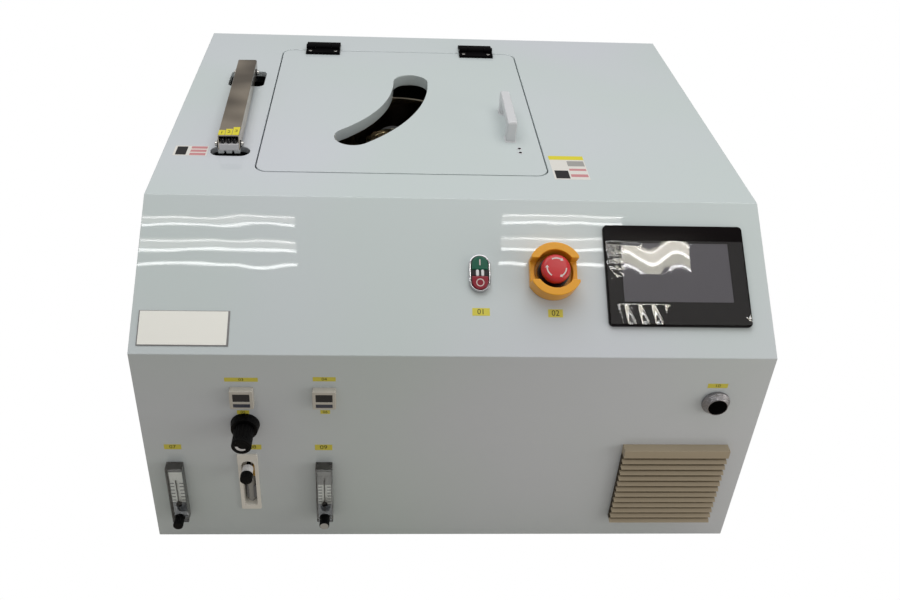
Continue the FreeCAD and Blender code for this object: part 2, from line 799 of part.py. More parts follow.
# Hinges: a leaf and middle knuckle on the lid, a leaf and two end knuckles on the cabinet, one pin each.
hinge_centres = ["%s hinge_spread / 2 + lid_centre_x + hinge_offset" % sign for sign in ("-", "+")]
lid_leaves = []
body_leaves = []
pins = []
hinge_screws = []
for centre in hinge_centres:
    centre = "(%s)" % centre
    left = "%s - hinge_width / 2" % centre
    lid_plate = box("lid_plate", (left, HINGE_Y + " - lid_leaf_length", TOP),
                    ("hinge_width", "lid_leaf_length - knuckle_radius - slack", "leaf_thickness"))
    tongue = box("tongue",
                 ("%s - knuckle_width / 2" % centre, HINGE_Y + " - knuckle_radius - 2 * slack", TOP),
                 ("knuckle_width", "knuckle_radius + 2 * slack", "leaf_thickness"))
    knuckle = rod("knuckle", ("%s - knuckle_width / 2" % centre, HINGE_Y, HINGE_Z),
                  "knuckle_radius - slack / 2", "knuckle_width", ALONG_X)
    bore = rod("bore", (left, HINGE_Y, HINGE_Z), "hinge_pin_radius + running_fit", "hinge_width", ALONG_X)
    screw_holes = []
    for sign in ("-", "+"):
        spot = ("%s %s leaf_screw_spread / 2" % (centre, sign), HINGE_Y + " - leaf_screw_set_back", TOP)
        screw_holes.append(rod("screw_hole", spot, "leaf_screw_radius + running_fit", "leaf_thickness"))
        screw = rod("screw", spot, "leaf_screw_radius", "leaf_thickness + slack")
        hinge_screws.append(screw)
    lid_leaves.append(cut("lid_leaf", fused("lid_leaf_blank", lid_plate, tongue, knuckle), bore,
                          *screw_holes))
    rear_plate = box("rear_plate", (left, HINGE_Y + " + knuckle_radius + slack", TOP),
                     ("hinge_width", "body_leaf_length - knuckle_radius - slack", "leaf_thickness"))
    ears = []
    for start in (left, "%s + knuckle_width / 2 + slack" % centre):
        ear_width = "(hinge_width - knuckle_width) / 2 - slack"
        ears.append(rod("ear", (start, HINGE_Y, HINGE_Z), "knuckle_radius - slack / 2", ear_width, ALONG_X))
        ears.append(box("ear_root", (start, HINGE_Y, TOP),
                        (ear_width, "knuckle_radius + 2 * slack", "leaf_thickness")))
    body_leaves.append(cut("body_leaf", fused("body_leaf_blank", rear_plate, *ears), bore))
    pins.append(rod("pin", (left, HINGE_Y, HINGE_Z), "hinge_pin_radius", "hinge_width", ALONG_X))
piece("hinge_lid_leaves", group("hinge_lid_leaves", *lid_leaves))
piece("hinge_body_leaves", group("hinge_body_leaves", *body_leaves))
piece("hinge_pins", group("hinge_pins", *pins))
magnet_screws = [rod("magnet_screw", (MAGNET_X, place, LID_BOTTOM), "magnet_screw_radius", "lid_thickness")
                 for place in magnet_screw_spots]
piece("lid_screws", group("lid_screws", *hinge_screws, *magnet_screws))

# Chamber deck: carries the bowl, the arm's lift and the motor plate, with a front wall up to the top.
deck_profile = [("deck_front", UNDER_DECK), ("cabinet_depth / 2 - sheet_thickness", UNDER_DECK),
                ("cabinet_depth / 2 - sheet_thickness", DECK), ("deck_front + sheet_thickness", DECK),
                ("deck_front + sheet_thickness", UNDER_TOP), ("deck_front", UNDER_TOP)]
deck_sheet = extruded("deck_sheet", deck_profile, "-%s / 2" % INSIDE, INSIDE)
deck_below = "%s - overrun" % UNDER_DECK
through_deck = "sheet_thickness + 2 * overrun"
bowl_hole = rod("bowl_hole", (CHUCK_X, "chuck_y", deck_below), "bowl_radius + bowl_wall + slack",
                through_deck)
lift_hole = rod("lift_hole", ("pivot_x", "pivot_y", deck_below), "lift_tube_radius + lift_clearance",
                through_deck)
piece("chamber_deck", cut("chamber_deck", deck_sheet, bowl_hole, lift_hole))

# Process bowl: spun stainless sheet with an inward lip, a flat gutter and a raised hub.
BOWL_FLOOR = "(-bowl_depth)"
CONE_TOP = "(cone_rise - bowl_depth)"
HUB_TOP = "(cone_rise - bowl_depth + bowl_hub_rise)"
bowl_profile = [
    ("bowl_radius - bowl_lip", "bowl_rise + bowl_lip"),
    ("bowl_radius", "bowl_rise"),
    ("bowl_radius", BOWL_FLOOR),
    ("bowl_radius - gutter_width", BOWL_FLOOR),
    ("bowl_hub_radius", CONE_TOP),
    ("bowl_hub_radius", HUB_TOP),
    ("bowl_hub_radius - bowl_wall", HUB_TOP),
    ("bowl_hub_radius - bowl_wall", CONE_TOP + " - bowl_wall"),
    ("bowl_radius - gutter_width", BOWL_FLOOR + " - bowl_wall"),
    ("bowl_radius + bowl_wall", BOWL_FLOOR + " - bowl_wall"),
    ("bowl_radius + bowl_wall", "0"),
    ("bowl_radius + bowl_flange", "0"),
    ("bowl_radius + bowl_flange", "bowl_wall"),
    ("bowl_radius + bowl_wall", "bowl_wall"),
    ("bowl_radius + bowl_wall", "bowl_rise + bowl_wall / 2"),
    ("bowl_radius - bowl_lip + bowl_wall / 2", "bowl_rise + bowl_lip + bowl_wall")]
bowl_shell = turned("bowl_shell", bowl_profile, (CHUCK_X, "chuck_y", DECK))
DUCT_Z = "(%s - duct_drop)" % TOP
duct_port = rod("duct_port", (CHUCK_X, "chuck_y", DUCT_Z), "duct_radius - duct_wall",
                "bowl_radius + 2 * bowl_wall", ALONG_Y)
DRAIN_X = "(%s + drain_offset)" % CHUCK_X
drain_port = rod("drain_port", (DRAIN_X, "chuck_y", DECK + " - bowl_depth - 2 * bowl_wall"),
                 "drain_radius - drain_wall", "4 * bowl_wall")
piece("process_bowl", cut("process_bowl", bowl_shell, duct_port, drain_port))

# Exhaust duct: leaves the bowl's wall and ends as a spigot behind the cabinet.
duct_length = REAR + " + port_reach - chuck_y"
duct_tube = rod("duct_tube", (CHUCK_X, "chuck_y", DUCT_Z), "duct_radius", duct_length, ALONG_Y)
duct_bore = rod("duct_bore", (CHUCK_X, "chuck_y", DUCT_Z), "duct_radius - duct_wall", duct_length, ALONG_Y)
bowl_solid = rod("bowl_solid", (CHUCK_X, "chuck_y", "foot_height"), "bowl_radius + bowl_wall",
                 "slope_rise + front_height")
duct_collar = rod("duct_collar", (CHUCK_X, REAR, DUCT_Z), "duct_radius + port_collar_rise",
                  "port_collar_thickness", ALONG_Y)
piece("exhaust_duct", cut("exhaust_duct", fused("duct_wall", duct_tube, duct_collar), duct_bore, bowl_solid))

# Drain: drops from the gutter, turns to the rear and ends as a spigot.
DRAIN_Z = "(%s - drain_level)" % DECK
drain_top = DECK + " - bowl_depth - bowl_wall"


def drain_run(name, radius):
    """The drain's bent path, swept solid with one radius."""
    drop = rod(name + "_drop", (DRAIN_X, "chuck_y", DRAIN_Z + " + drain_bend"), radius,
               "%s - %s - drain_bend" % (drain_top, DRAIN_Z))
    run = rod(name + "_run", (DRAIN_X, "chuck_y + drain_bend", DRAIN_Z), radius,
              "%s + port_reach - chuck_y - drain_bend" % REAR, ALONG_Y)
    bend = doc.addObject("Part::Torus", name + "_bend")
    bend.setExpression("Radius1", full("drain_bend"))
    bend.setExpression("Radius2", full(radius))
    put(bend, (DRAIN_X, "chuck_y + drain_bend", DRAIN_Z + " + drain_bend"), ((0, 1, 0), "90"))
    corner = box(name + "_corner",
                 (DRAIN_X + " - drain_bend", "chuck_y - drain_bend", DRAIN_Z + " - drain_bend"),
                 ("2 * drain_bend", "2 * drain_bend", "2 * drain_bend"))
    return fused(name, drop, run, common(name + "_elbow", bend, corner))


drain_collar = rod("drain_collar", (DRAIN_X, REAR, DRAIN_Z), "drain_radius + port_collar_rise",
                   "port_collar_thickness", ALONG_Y)
piece("drain_pipe",
      cut("drain_pipe", fused("drain_wall", drain_run("drain_outside", "drain_radius"), drain_collar),
                        drain_run("drain_inside", "drain_radius - drain_wall")))

# Spin drive: a plate on four posts under the deck, the spindle housing on it and the motor below.
plate = block("motor_plate_sheet", (CHUCK_X, "chuck_y", MOTOR_PLATE + " - motor_plate_thickness"),
              ("motor_plate_size", "motor_plate_size", "motor_plate_thickness"))
posts = []
for sign_x in ("-", "+"):
    for sign_y in ("-", "+"):
        spot = ("%s %s motor_post_spread / 2" % (CHUCK_X, sign_x),
                "chuck_y %s motor_post_spread / 2" % sign_y)
        posts.append(rod("post", (*spot, MOTOR_PLATE), "motor_post_radius", "motor_plate_drop"))
housing = rod("spindle_housing", (CHUCK_X, "chuck_y", MOTOR_PLATE), "spindle_housing_radius",
              "spindle_housing_height")
housing_foot = cone("housing_foot", (CHUCK_X, "chuck_y", MOTOR_PLATE),
                    "spindle_housing_radius + spindle_housing_flare", "spindle_housing_radius",
                    "motor_plate_thickness")
spindle_bore = rod("spindle_bore", (CHUCK_X, "chuck_y", "foot_height"), "spindle_radius + running_fit", TOP)
drain_pass = rod("drain_pass", (DRAIN_X, "chuck_y", "foot_height"), "drain_radius + drain_clearance", TOP)
piece("motor_plate", cut("motor_plate", fused("motor_frame", plate, housing, housing_foot, *posts),
                         spindle_bore, drain_pass))
MOTOR_TOP = "(%s - motor_plate_thickness)" % MOTOR_PLATE
motor_can = slab("motor_can", "%s - motor_size / 2" % CHUCK_X, "chuck_y - motor_size / 2",
                 "%s + motor_size / 2" % CHUCK_X, "chuck_y + motor_size / 2",
                 MOTOR_TOP + " - motor_length", "motor_length", "motor_corner")
encoder = rod("encoder", (CHUCK_X, "chuck_y", MOTOR_TOP + " - motor_length - encoder_length"),
              "encoder_radius",
              "encoder_length")
motor_bore = rod("motor_bore", (CHUCK_X, "chuck_y", MOTOR_TOP + " - motor_socket"),
                 "spindle_radius + running_fit", "motor_socket")
piece("spin_motor", cut("spin_motor", fused("motor_blank", motor_can, encoder), motor_bore))

CHUCK_TOP = "(%s + chuck_level)" % DECK
CHUCK_INSIDE = "(chuck_radius - chuck_skirt_wall)"
chuck_profile = [("0", "0"), ("chuck_radius - chuck_bevel", "0"), ("chuck_radius", "-chuck_bevel"),
                 ("chuck_radius", "-chuck_skirt"), (CHUCK_INSIDE, "-chuck_skirt"),
                 (CHUCK_INSIDE, "-chuck_thickness"),
                 ("chuck_boss_radius", "-chuck_thickness"), ("chuck_boss_radius", "-chuck_skirt"),
                 ("0", "-chuck_skirt")]
chuck_blank = turned("chuck_blank", chuck_profile, (CHUCK_X, "chuck_y", CHUCK_TOP))
grooves = []
for ring in range(1, SIZES["chuck_grooves"] + 1):
    outer = rod("groove_outer", (CHUCK_X, "chuck_y", CHUCK_TOP + " - chuck_groove_depth"),
                "%d * chuck_groove_pitch" % ring, "2 * chuck_groove_depth")
    inner = rod("groove_inner", (CHUCK_X, "chuck_y", CHUCK_TOP + " - chuck_groove_depth"),
                "%d * chuck_groove_pitch - chuck_groove_width" % ring, "2 * chuck_groove_depth")
    grooves.append(cut("groove", outer, inner))
SPINDLE_TOP = "(%s - chuck_thickness / 2)" % CHUCK_TOP
chuck_socket = rod("chuck_socket", (CHUCK_X, "chuck_y", CHUCK_TOP + " - chuck_skirt"),
                   "spindle_radius + running_fit", "chuck_skirt - chuck_thickness / 2")
vacuum_hole = rod("vacuum_hole", (CHUCK_X, "chuck_y", SPINDLE_TOP), "spindle_radius / 4", "chuck_thickness")
piece("wafer_chuck", cut("wafer_chuck", chuck_blank, chuck_socket, vacuum_hole, *grooves))
SPINDLE_BOTTOM = "(%s - motor_socket + slack)" % MOTOR_TOP
spindle_solid = rod("spindle_solid", (CHUCK_X, "chuck_y", SPINDLE_BOTTOM), "spindle_radius",
                    "%s - %s" % (SPINDLE_TOP, SPINDLE_BOTTOM))
spindle_vacuum = rod("spindle_vacuum", (CHUCK_X, "chuck_y", SPINDLE_BOTTOM), "spindle_radius / 4",
                     "%s - %s" % (SPINDLE_TOP, SPINDLE_BOTTOM))
piece("spindle_shaft", cut("spindle_shaft", spindle_solid, spindle_vacuum))

# Arm lift: a cylinder under the deck, a tube that rises from it and the swing shaft inside the tube.
lift_body = block("lift_body", ("pivot_x", "pivot_y", UNDER_DECK + " - lift_body_length"),
                  ("lift_body_size", "lift_body_size", "lift_body_length"))
lift_flange = block("lift_flange_plate", ("pivot_x", "pivot_y", UNDER_DECK + " - lift_flange_thickness"),
                    ("lift_flange", "lift_flange", "lift_flange_thickness"))
lift_bore = rod("lift_bore", ("pivot_x", "pivot_y", UNDER_DECK + " - lift_body_length + sheet_thickness"),
                "lift_tube_radius + running_fit", "lift_body_length")
piece("arm_lift_cylinder", cut("arm_lift_cylinder", fused("lift_blank", lift_body, lift_flange), lift_bore))
COLLAR = "(%s - collar_drop - collar_height)" % TOP
TUBE_TOP = "(%s - slack)" % COLLAR
TUBE_BOTTOM = "(%s - slack - lift_tube_length)" % COLLAR
lift_tube = rod("lift_tube_solid", ("pivot_x", "pivot_y", TUBE_BOTTOM), "lift_tube_radius",
                "lift_tube_length")
lift_tube_bore = rod("lift_tube_bore", ("pivot_x", "pivot_y", TUBE_BOTTOM),
                     "swing_shaft_radius + running_fit",
                     "lift_tube_length")
piece("arm_lift_tube", cut("arm_lift_tube", lift_tube, lift_tube_bore))

# Arm pieces stand in the arm's own frame: pivot at the origin, nozzles towards -y, z from the top sheet.
HUB_TOP_Z = "(hub_bottom + hub_height)"
shaft = rod("swing_rod", ("0", "0", "-collar_drop - collar_height - lift_tube_length + sheet_thickness"),
            "swing_shaft_radius",
            "collar_drop + collar_height + lift_tube_length - sheet_thickness + " + HUB_TOP_Z)
collar = rod("swing_collar", ("0", "0", "-collar_drop - collar_height"), "lift_tube_radius", "collar_height")
manifold = block("swing_manifold", ("0", "0", HUB_TOP_Z),
                 ("block_width", "2 * hub_radius", "manifold_height"))
piece("arm_swing_shaft", on_arm(fused("arm_swing_shaft", shaft, collar, manifold)))

BLOCK_FRONT = "(-nozzle_reach - nozzle_size / 2)"
BLOCK_BOTTOM = "(nozzle_hover + nozzle_drop)"
BLOCK_TOP = "(nozzle_hover + nozzle_drop + block_height)"
beam_start = "(%s + block_length)" % BLOCK_FRONT
beam = box("beam", ("-beam_width / 2", beam_start, "beam_level"),
           ("beam_width", "-" + beam_start, "beam_height"))
hub = rod("arm_hub", ("0", "0", "hub_bottom"), "hub_radius", "hub_height")
hub_bore = rod("hub_bore", ("0", "0", "0"), "swing_shaft_radius + running_fit", "cover_top")
piece("arm_beam", on_arm(cut("arm_beam", fused("beam_blank", beam, hub), hub_bore)))

nozzle_body = block("nozzle_body", ("0", BLOCK_FRONT + " + block_length / 2", BLOCK_BOTTOM),
                    ("block_width", "block_length", "block_height"))
tips = []
tip_bores = []
for place in ("-nozzle_pitch", "0", "nozzle_pitch"):
    tips.append(block("tip", (place, "-nozzle_reach", "nozzle_hover"),
                      ("nozzle_size", "nozzle_size", "nozzle_drop")))
    tip_bores.append(rod("tip_bore", (place, "-nozzle_reach", "0"), "nozzle_size / 6",
                         "nozzle_hover + nozzle_drop + block_height / 2"))
piece("nozzle_block", on_arm(cut("nozzle_block", fused("nozzle_blank", nozzle_body, *tips), *tip_bores)))

# Arm cover: a bent stainless channel, open below and in front, with two screws each side.
cover_length = "(nozzle_reach + cover_tail)"
COVER_SKIRT = "(nozzle_hover + nozzle_drop + slack)"
cover_outside = block("cover_outside", ("0", "cover_tail - %s / 2" % cover_length, COVER_SKIRT),
                      ("cover_width", cover_length, "cover_top - " + COVER_SKIRT))
cover_inside = block("cover_inside", ("0", "cover_tail - cover_wall - %s / 2" % cover_length, "0"),
                     ("cover_width - 2 * cover_wall", cover_length, "cover_top - cover_wall"))
cover_shell = cut("cover_shell", cover_outside, cover_inside)
screw_level = "(beam_level + beam_height / 2)"
cover_screws = []
for along, inner in (("(block_length / 3 + %s)" % BLOCK_FRONT, "block_width / 2"),
                     ("(-hub_radius - cover_screw_set_back)", "beam_width / 2")):
    for sign, axis in (("", ((0, 1, 0), "90")), ("-", ((0, -1, 0), "90"))):
        head_spot = ("%scover_width / 2" % sign, along, screw_level)
        shank_spot = ("%s(%s)" % (sign, inner), along, screw_level)
        cover_screws.append(rod("cover_screw_head", head_spot, "cover_screw_radius", "cover_screw_height",
                                axis))
        cover_screws.append(rod("cover_screw_shank", shank_spot, "cover_screw_radius / 2",
                                "cover_width / 2 - (%s)" % inner, axis))
piece("arm_cover", on_arm(fused("arm_cover", cover_shell, *cover_screws)))

# Dispense tubes: from the manifold over the beam, then down into the nozzle block.
TUBE_LEVEL = "(%s + tube_bend)" % BLOCK_TOP


def dispense_tube(across):
    """One tube: a straight run along the arm and an elbow down into the nozzle block."""
    elbow_y = "(-nozzle_reach + tube_bend)"
    run = rod("tube_run", (across, elbow_y, TUBE_LEVEL), "tube_radius", "-hub_radius - " + elbow_y, ALONG_Y)
    bend = doc.addObject("Part::Torus", "tube_elbow_ring")
    bend.setExpression("Radius1", full("tube_bend"))
    bend.setExpression("Radius2", full("tube_radius"))
    put(bend, (across, elbow_y, BLOCK_TOP), ((0, 1, 0), "90"))
    quarter = box("tube_quarter",
                  ("%s - 2 * tube_radius" % across, "%s - 3 * tube_bend" % elbow_y, BLOCK_TOP),
                  ("4 * tube_radius", "3 * tube_bend", "3 * tube_bend"))
    return fused("dispense_tube", run, common("tube_elbow", bend, quarter))


tubes = group("tube_group", *[dispense_tube(place) for place in ("(-tube_pitch)", "0", "tube_pitch")])
piece("dispense_tubes", on_arm(tubes))

# Operator panel: bezel and housing in one moulding, and the display glass in its recess.
PANEL_LEFT = "(panel_x - panel_width / 2)"
PANEL_LOW = "(panel_rise - panel_height / 2)"
panel_face = slab("panel_face", PANEL_LEFT, PANEL_LOW, PANEL_LEFT + " + panel_width",
                  PANEL_LOW + " + panel_height",
                  "0", "panel_proud", "panel_corner", "panel_edge")
panel_back = block("panel_back", ("panel_x", "panel_rise", "-panel_housing_depth"),
                   ("panel_width - 2 * panel_housing_margin", "panel_height - 2 * panel_housing_margin",
                    "panel_housing_depth"))
display_recess = block("display_recess",
                       ("panel_x", "panel_rise + display_shift", "panel_proud - display_thickness"),
                       ("display_width", "display_height", "2 * display_thickness"))
piece("hmi_bezel", on_slope(cut("hmi_bezel", fused("panel_blank", panel_face, panel_back), display_recess)))
piece("hmi_screen", on_slope(group("hmi_screen", block(
    "display_glass", ("panel_x", "panel_rise + display_shift", "panel_proud - display_thickness"),
    ("display_width - 2 * slack", "display_height - 2 * slack", "display_thickness")))))
panel_hole = block("panel_hole", ("panel_x", "panel_rise", "-2 * sheet_thickness"),
                   ("panel_width - 2 * (panel_housing_margin - panel_hole_gap)",
                    "panel_height - 2 * (panel_housing_margin - panel_hole_gap)", "4 * sheet_thickness"))


# Twin power button: chrome bezel with a green and a red button that press in against springs.
def button_shape(name, sign, bottom, height, inset):
    """One half of the twin button: straight inner edge, round outer end."""
    half_width = "(button_width / 2 - %s)" % inset
    middle = "(power_rise %s button_centre)" % sign
    tip = rod(name + "_tip", ("power_x", middle, bottom), half_width, height)
    reach = "(button_centre - button_start - %s)" % inset
    low = middle if sign == "-" else "%s - %s" % (middle, reach)
    return fused(name, tip, box(name + "_root", ("power_x - " + half_width, low, bottom),
                                ("2 * " + half_width, reach, height)))


BUTTON_BOTTOM = "(power_proud - power_well_depth + slack + button_travel)"
power_plate = stadium("power_plate", ("power_x", "power_rise"), "0", "power_width", "power_length",
                      "power_proud", "y")
power_neck = rod("power_neck", ("power_x", "power_rise", "-1.5 * sheet_thickness"), "mounting_radius",
                 "1.5 * sheet_thickness")
power_contacts = block("power_contacts", ("power_x", "power_rise", "-1.5 * sheet_thickness - contact_depth"),
                       ("contact_size", "contact_size", "contact_depth"))
wells = [button_shape("power_well", sign, "power_proud - power_well_depth", "2 * power_well_depth", "0")
         for sign in ("-", "+")]
piece("power_bezel",
      on_slope(cut("power_bezel", fused("power_blank", power_plate, power_neck, power_contacts),
                                  *wells)))
piece("green_button", on_slope(button_shape("green_button", "+", BUTTON_BOTTOM, "button_thickness", "slack")))
piece("red_button", on_slope(button_shape("red_button", "-", BUTTON_BOTTOM, "button_thickness", "slack")))
power_hole = rod("power_hole", ("power_x", "power_rise", "-2 * sheet_thickness"), "mounting_radius + slack",
                 "4 * sheet_thickness")

# Emergency stop: yellow guard with two side notches, fixed base, plunger and twist-release head.
guard_round = rod("guard_round", ("stop_x", "stop_rise", "0"), "guard_length / 2", "guard_height")
guard_limit = block("guard_limit", ("stop_x", "stop_rise", "0"),
                    ("guard_width", "guard_length", "guard_height"))
guard_hollow = rod("guard_hollow", ("stop_x", "stop_rise", "guard_floor"), "guard_hollow_radius",
                   "guard_height")
guard_notches = block("guard_notches", ("stop_x", "stop_rise", "guard_notch_floor"),
                      ("2 * guard_width", "guard_notch", "guard_height"))
guard_hole = rod("guard_hole", ("stop_x", "stop_rise", "-overrun"), "mounting_radius + slack", "guard_height")
piece("estop_guard", on_slope(cut("estop_guard", common("guard_blank", guard_round, guard_limit),
                                  guard_hollow, guard_notches, guard_hole)))
stop_flange = rod("stop_flange", ("stop_x", "stop_rise", "guard_floor"), "stop_flange_radius",
                  "stop_flange_height")
stop_neck = rod("stop_neck", ("stop_x", "stop_rise", "-1.5 * sheet_thickness"), "mounting_radius",
                "1.5 * sheet_thickness + guard_floor")
stop_contacts = block("stop_contacts", ("stop_x", "stop_rise", "-1.5 * sheet_thickness - contact_depth"),
                      ("contact_size", "contact_size", "contact_depth"))
stop_bore = rod("stop_bore", ("stop_x", "stop_rise", "-2.5 * sheet_thickness - slack"),
                "stop_plunger_radius + running_fit", "4 * sheet_thickness")
piece("estop_base",
      on_slope(cut("estop_base", fused("stop_blank", stop_flange, stop_neck, stop_contacts), stop_bore)))
PLUNGER_LOW = "(stop_travel - 2.5 * sheet_thickness)"
PLUNGER_TOP = "(stop_head_bottom + stop_head_height / 2)"
piece("estop_plunger", on_slope(group("estop_plunger", rod(
    "plunger_rod", ("stop_x", "stop_rise", PLUNGER_LOW), "stop_plunger_radius",
    "%s - %s" % (PLUNGER_TOP, PLUNGER_LOW)))))
HEAD_TOP = "(stop_head_bottom + stop_head_height)"
head_profile = [("0", "stop_head_bottom"), ("stop_head_radius - stop_head_round", "stop_head_bottom"),
                ("stop_head_radius", "stop_head_bottom + stop_head_flare"),
                ("stop_head_radius", HEAD_TOP + " - stop_head_round"),
                ("stop_head_radius - stop_head_shoulder", HEAD_TOP + " - stop_head_shoulder_drop"),
                ("stop_head_radius - stop_head_round", HEAD_TOP),
                ("0", HEAD_TOP)]
head_blank = turned("head_blank", head_profile, ("stop_x", "stop_rise", "0"))
head_bore = rod("head_bore", ("stop_x", "stop_rise", "0"), "stop_plunger_radius + running_fit",
                PLUNGER_TOP + " + slack")
piece("estop_head", on_slope(cut("estop_head", head_blank, head_bore)))
stop_hole = rod("stop_hole", ("stop_x", "stop_rise", "-2 * sheet_thickness"), "mounting_radius + slack",
                "4 * sheet_thickness")

control_sheet = extruded("control_sheet", [CORNER_LOW, CORNER_HIGH, CORNER_HIGH_IN, CORNER_LOW_IN],
                         "-%s / 2" % INSIDE, INSIDE)
control_holes = on_slope(fused("control_holes", panel_hole, power_hole, stop_hole))
piece("control_panel", cut("control_panel", control_sheet, control_holes))

# Two pressure sensors: square faces in front of the sheet, bodies behind it.
front_holes = []
sensors = []
for place in ("sensor_left_x", "sensor_right_x"):
    face = slab("sensor_face", place + " - sensor_size / 2", "sensor_rise - sensor_size / 2",
                place + " + sensor_size / 2", "sensor_rise + sensor_size / 2", "0", "sensor_proud",
                "sensor_corner", "sensor_edge")
    back = block("sensor_back", (place, "sensor_rise", "-sensor_body_depth"),
                 ("sensor_body_size", "sensor_body_size", "sensor_body_depth"))
    window = block("sensor_window",
                   (place, "sensor_rise + sensor_window_shift", "sensor_proud - sensor_window_depth"),
                   ("sensor_window_width", "sensor_window_height", "2 * sensor_window_depth"))
    keys = block("sensor_keys",
                 (place, "sensor_rise - sensor_keys_shift", "sensor_proud - sensor_keys_depth"),
                 ("sensor_window_width", "sensor_keys_height", "2 * sensor_keys_depth"))
    sensors.append(cut("pressure_sensor", fused("sensor_blank", face, back), window, keys))
    front_holes.append(block("sensor_hole", (place, "sensor_rise", "-2 * sheet_thickness"),
                             ("sensor_body_size + 2 * slack", "sensor_body_size + 2 * slack",
                              "4 * sheet_thickness")))
piece("pressure_sensors", on_front(group("pressure_sensors", *sensors)))

# Pressure regulator: body behind the sheet, ring nut in front and a ribbed knob.
ring = cone("regulator_ring", ("regulator_x", "regulator_rise", "0"), "regulator_ring_radius",
            "regulator_ring_radius - regulator_ring_taper", "regulator_ring_height")
neck = rod("regulator_neck", ("regulator_x", "regulator_rise", "-2 * sheet_thickness"),
           "regulator_neck_radius",
           "2 * sheet_thickness")
regulator_back = block("regulator_back",
                       ("regulator_x", "regulator_rise", "-2 * sheet_thickness - regulator_body_depth"),
                       ("regulator_body_size", "regulator_body_size", "regulator_body_depth"))
stem = rod("regulator_stem", ("regulator_x", "regulator_rise", "regulator_ring_height"),
           "regulator_stem_radius",
           "regulator_stem_length")
piece("regulator_body", on_front(fused("regulator_body", ring, neck, regulator_back, stem)))
knob_bottom = "(regulator_ring_height + slack)"
knob_height = "(regulator_knob_reach - %s)" % knob_bottom
knob_round = rod("knob_round", ("regulator_x", "regulator_rise", knob_bottom), "regulator_knob_radius",
                 knob_height)
knob_bore = rod("knob_bore", ("regulator_x", "regulator_rise", "0"), "regulator_stem_radius + running_fit",
                "regulator_ring_height + regulator_stem_length + slack")
knob_grooves = []
for rib in range(SIZES["regulator_ribs"]):
    turn = "%d * 360 / regulator_ribs" % rib
    knob_grooves.append(rod("knob_groove", (
        "regulator_x + (regulator_knob_radius + regulator_rib_shift) * cos(%s * 1 deg)" % turn,
        "regulator_rise + (regulator_knob_radius + regulator_rib_shift) * sin(%s * 1 deg)" % turn,
        knob_bottom),
        "regulator_rib_radius", knob_height + " - regulator_rib_end"))
piece("regulator_knob", on_front(cut("regulator_knob", knob_round, knob_bore, *knob_grooves)))
front_holes.append(rod("regulator_hole", ("regulator_x", "regulator_rise", "-2 * sheet_thickness"),
                       "regulator_neck_radius + slack", "4 * sheet_thickness"))

# Centre flow unit: a panel-mounted moulding with a window, a clear tube and a knob on a stem.
flow_flange = slab("flow_flange", "flow_x - flow_width / 2", "flow_rise - flow_height / 2",
                   "flow_x + flow_width / 2", "flow_rise + flow_height / 2", "0", "flow_flange",
                   "flow_corner",
                   "flow_edge")
flow_back = block("flow_back", ("flow_x", "flow_rise", "-flow_body_depth"),
                  ("flow_width - 2 * flow_back_side", "flow_height - 2 * flow_back_end", "flow_body_depth"))
FLOW_WINDOW_LOW = "(flow_rise - flow_window_height / 2 - flow_window_shift)"
flow_window = slab("flow_window", "flow_x - flow_window_width / 2", FLOW_WINDOW_LOW,
                   "flow_x + flow_window_width / 2", FLOW_WINDOW_LOW + " + flow_window_height",
                   "flow_flange - flow_pocket_depth", "flow_pocket_depth + overrun", "flow_window_corner")
STEM_BOTTOM = "(flow_flange - flow_pocket_depth)"
flow_boss = rod("flow_boss", ("flow_x", "flow_knob_rise", STEM_BOTTOM), "flow_stem_radius + flow_boss_wall",
                "flow_pocket_depth / 2")
flow_boss_bore = rod("flow_boss_bore", ("flow_x", "flow_knob_rise", STEM_BOTTOM),
                     "flow_stem_radius + running_fit",
                     "flow_pocket_depth")
piece("flow_bezel", on_front(cut("flow_bezel", fused(
    "flow_blank", cut("flow_moulding", fused("flow_solid", flow_flange, flow_back), flow_window), flow_boss),
    flow_boss_bore)))
piece("flow_tube", on_front(group("flow_tube", rod(
    "flow_tube_rod", ("flow_x", FLOW_WINDOW_LOW, STEM_BOTTOM + " + flow_tube_radius"),
    "flow_tube_radius", "flow_tube_height", ALONG_Y))))
knob_start = "(flow_flange + flow_knob_gap)"
flow_knob = rod("flow_knob", ("flow_x", "flow_knob_rise", knob_start), "flow_knob_radius",
                "flow_knob_reach - " + knob_start)
flow_stem = rod("flow_stem", ("flow_x", "flow_knob_rise", STEM_BOTTOM + " + slack"), "flow_stem_radius",
                "%s - %s" % (knob_start, STEM_BOTTOM))
piece("centre_flow_knob", on_front(fused("centre_flow_knob", flow_knob, flow_stem)))
front_holes.append(block("flow_hole", ("flow_x", "flow_rise", "-2 * sheet_thickness"),
                         ("flow_width - 2 * (flow_back_side - slack)",
                          "flow_height - 2 * (flow_back_end - slack)",
                          "4 * sheet_thickness")))

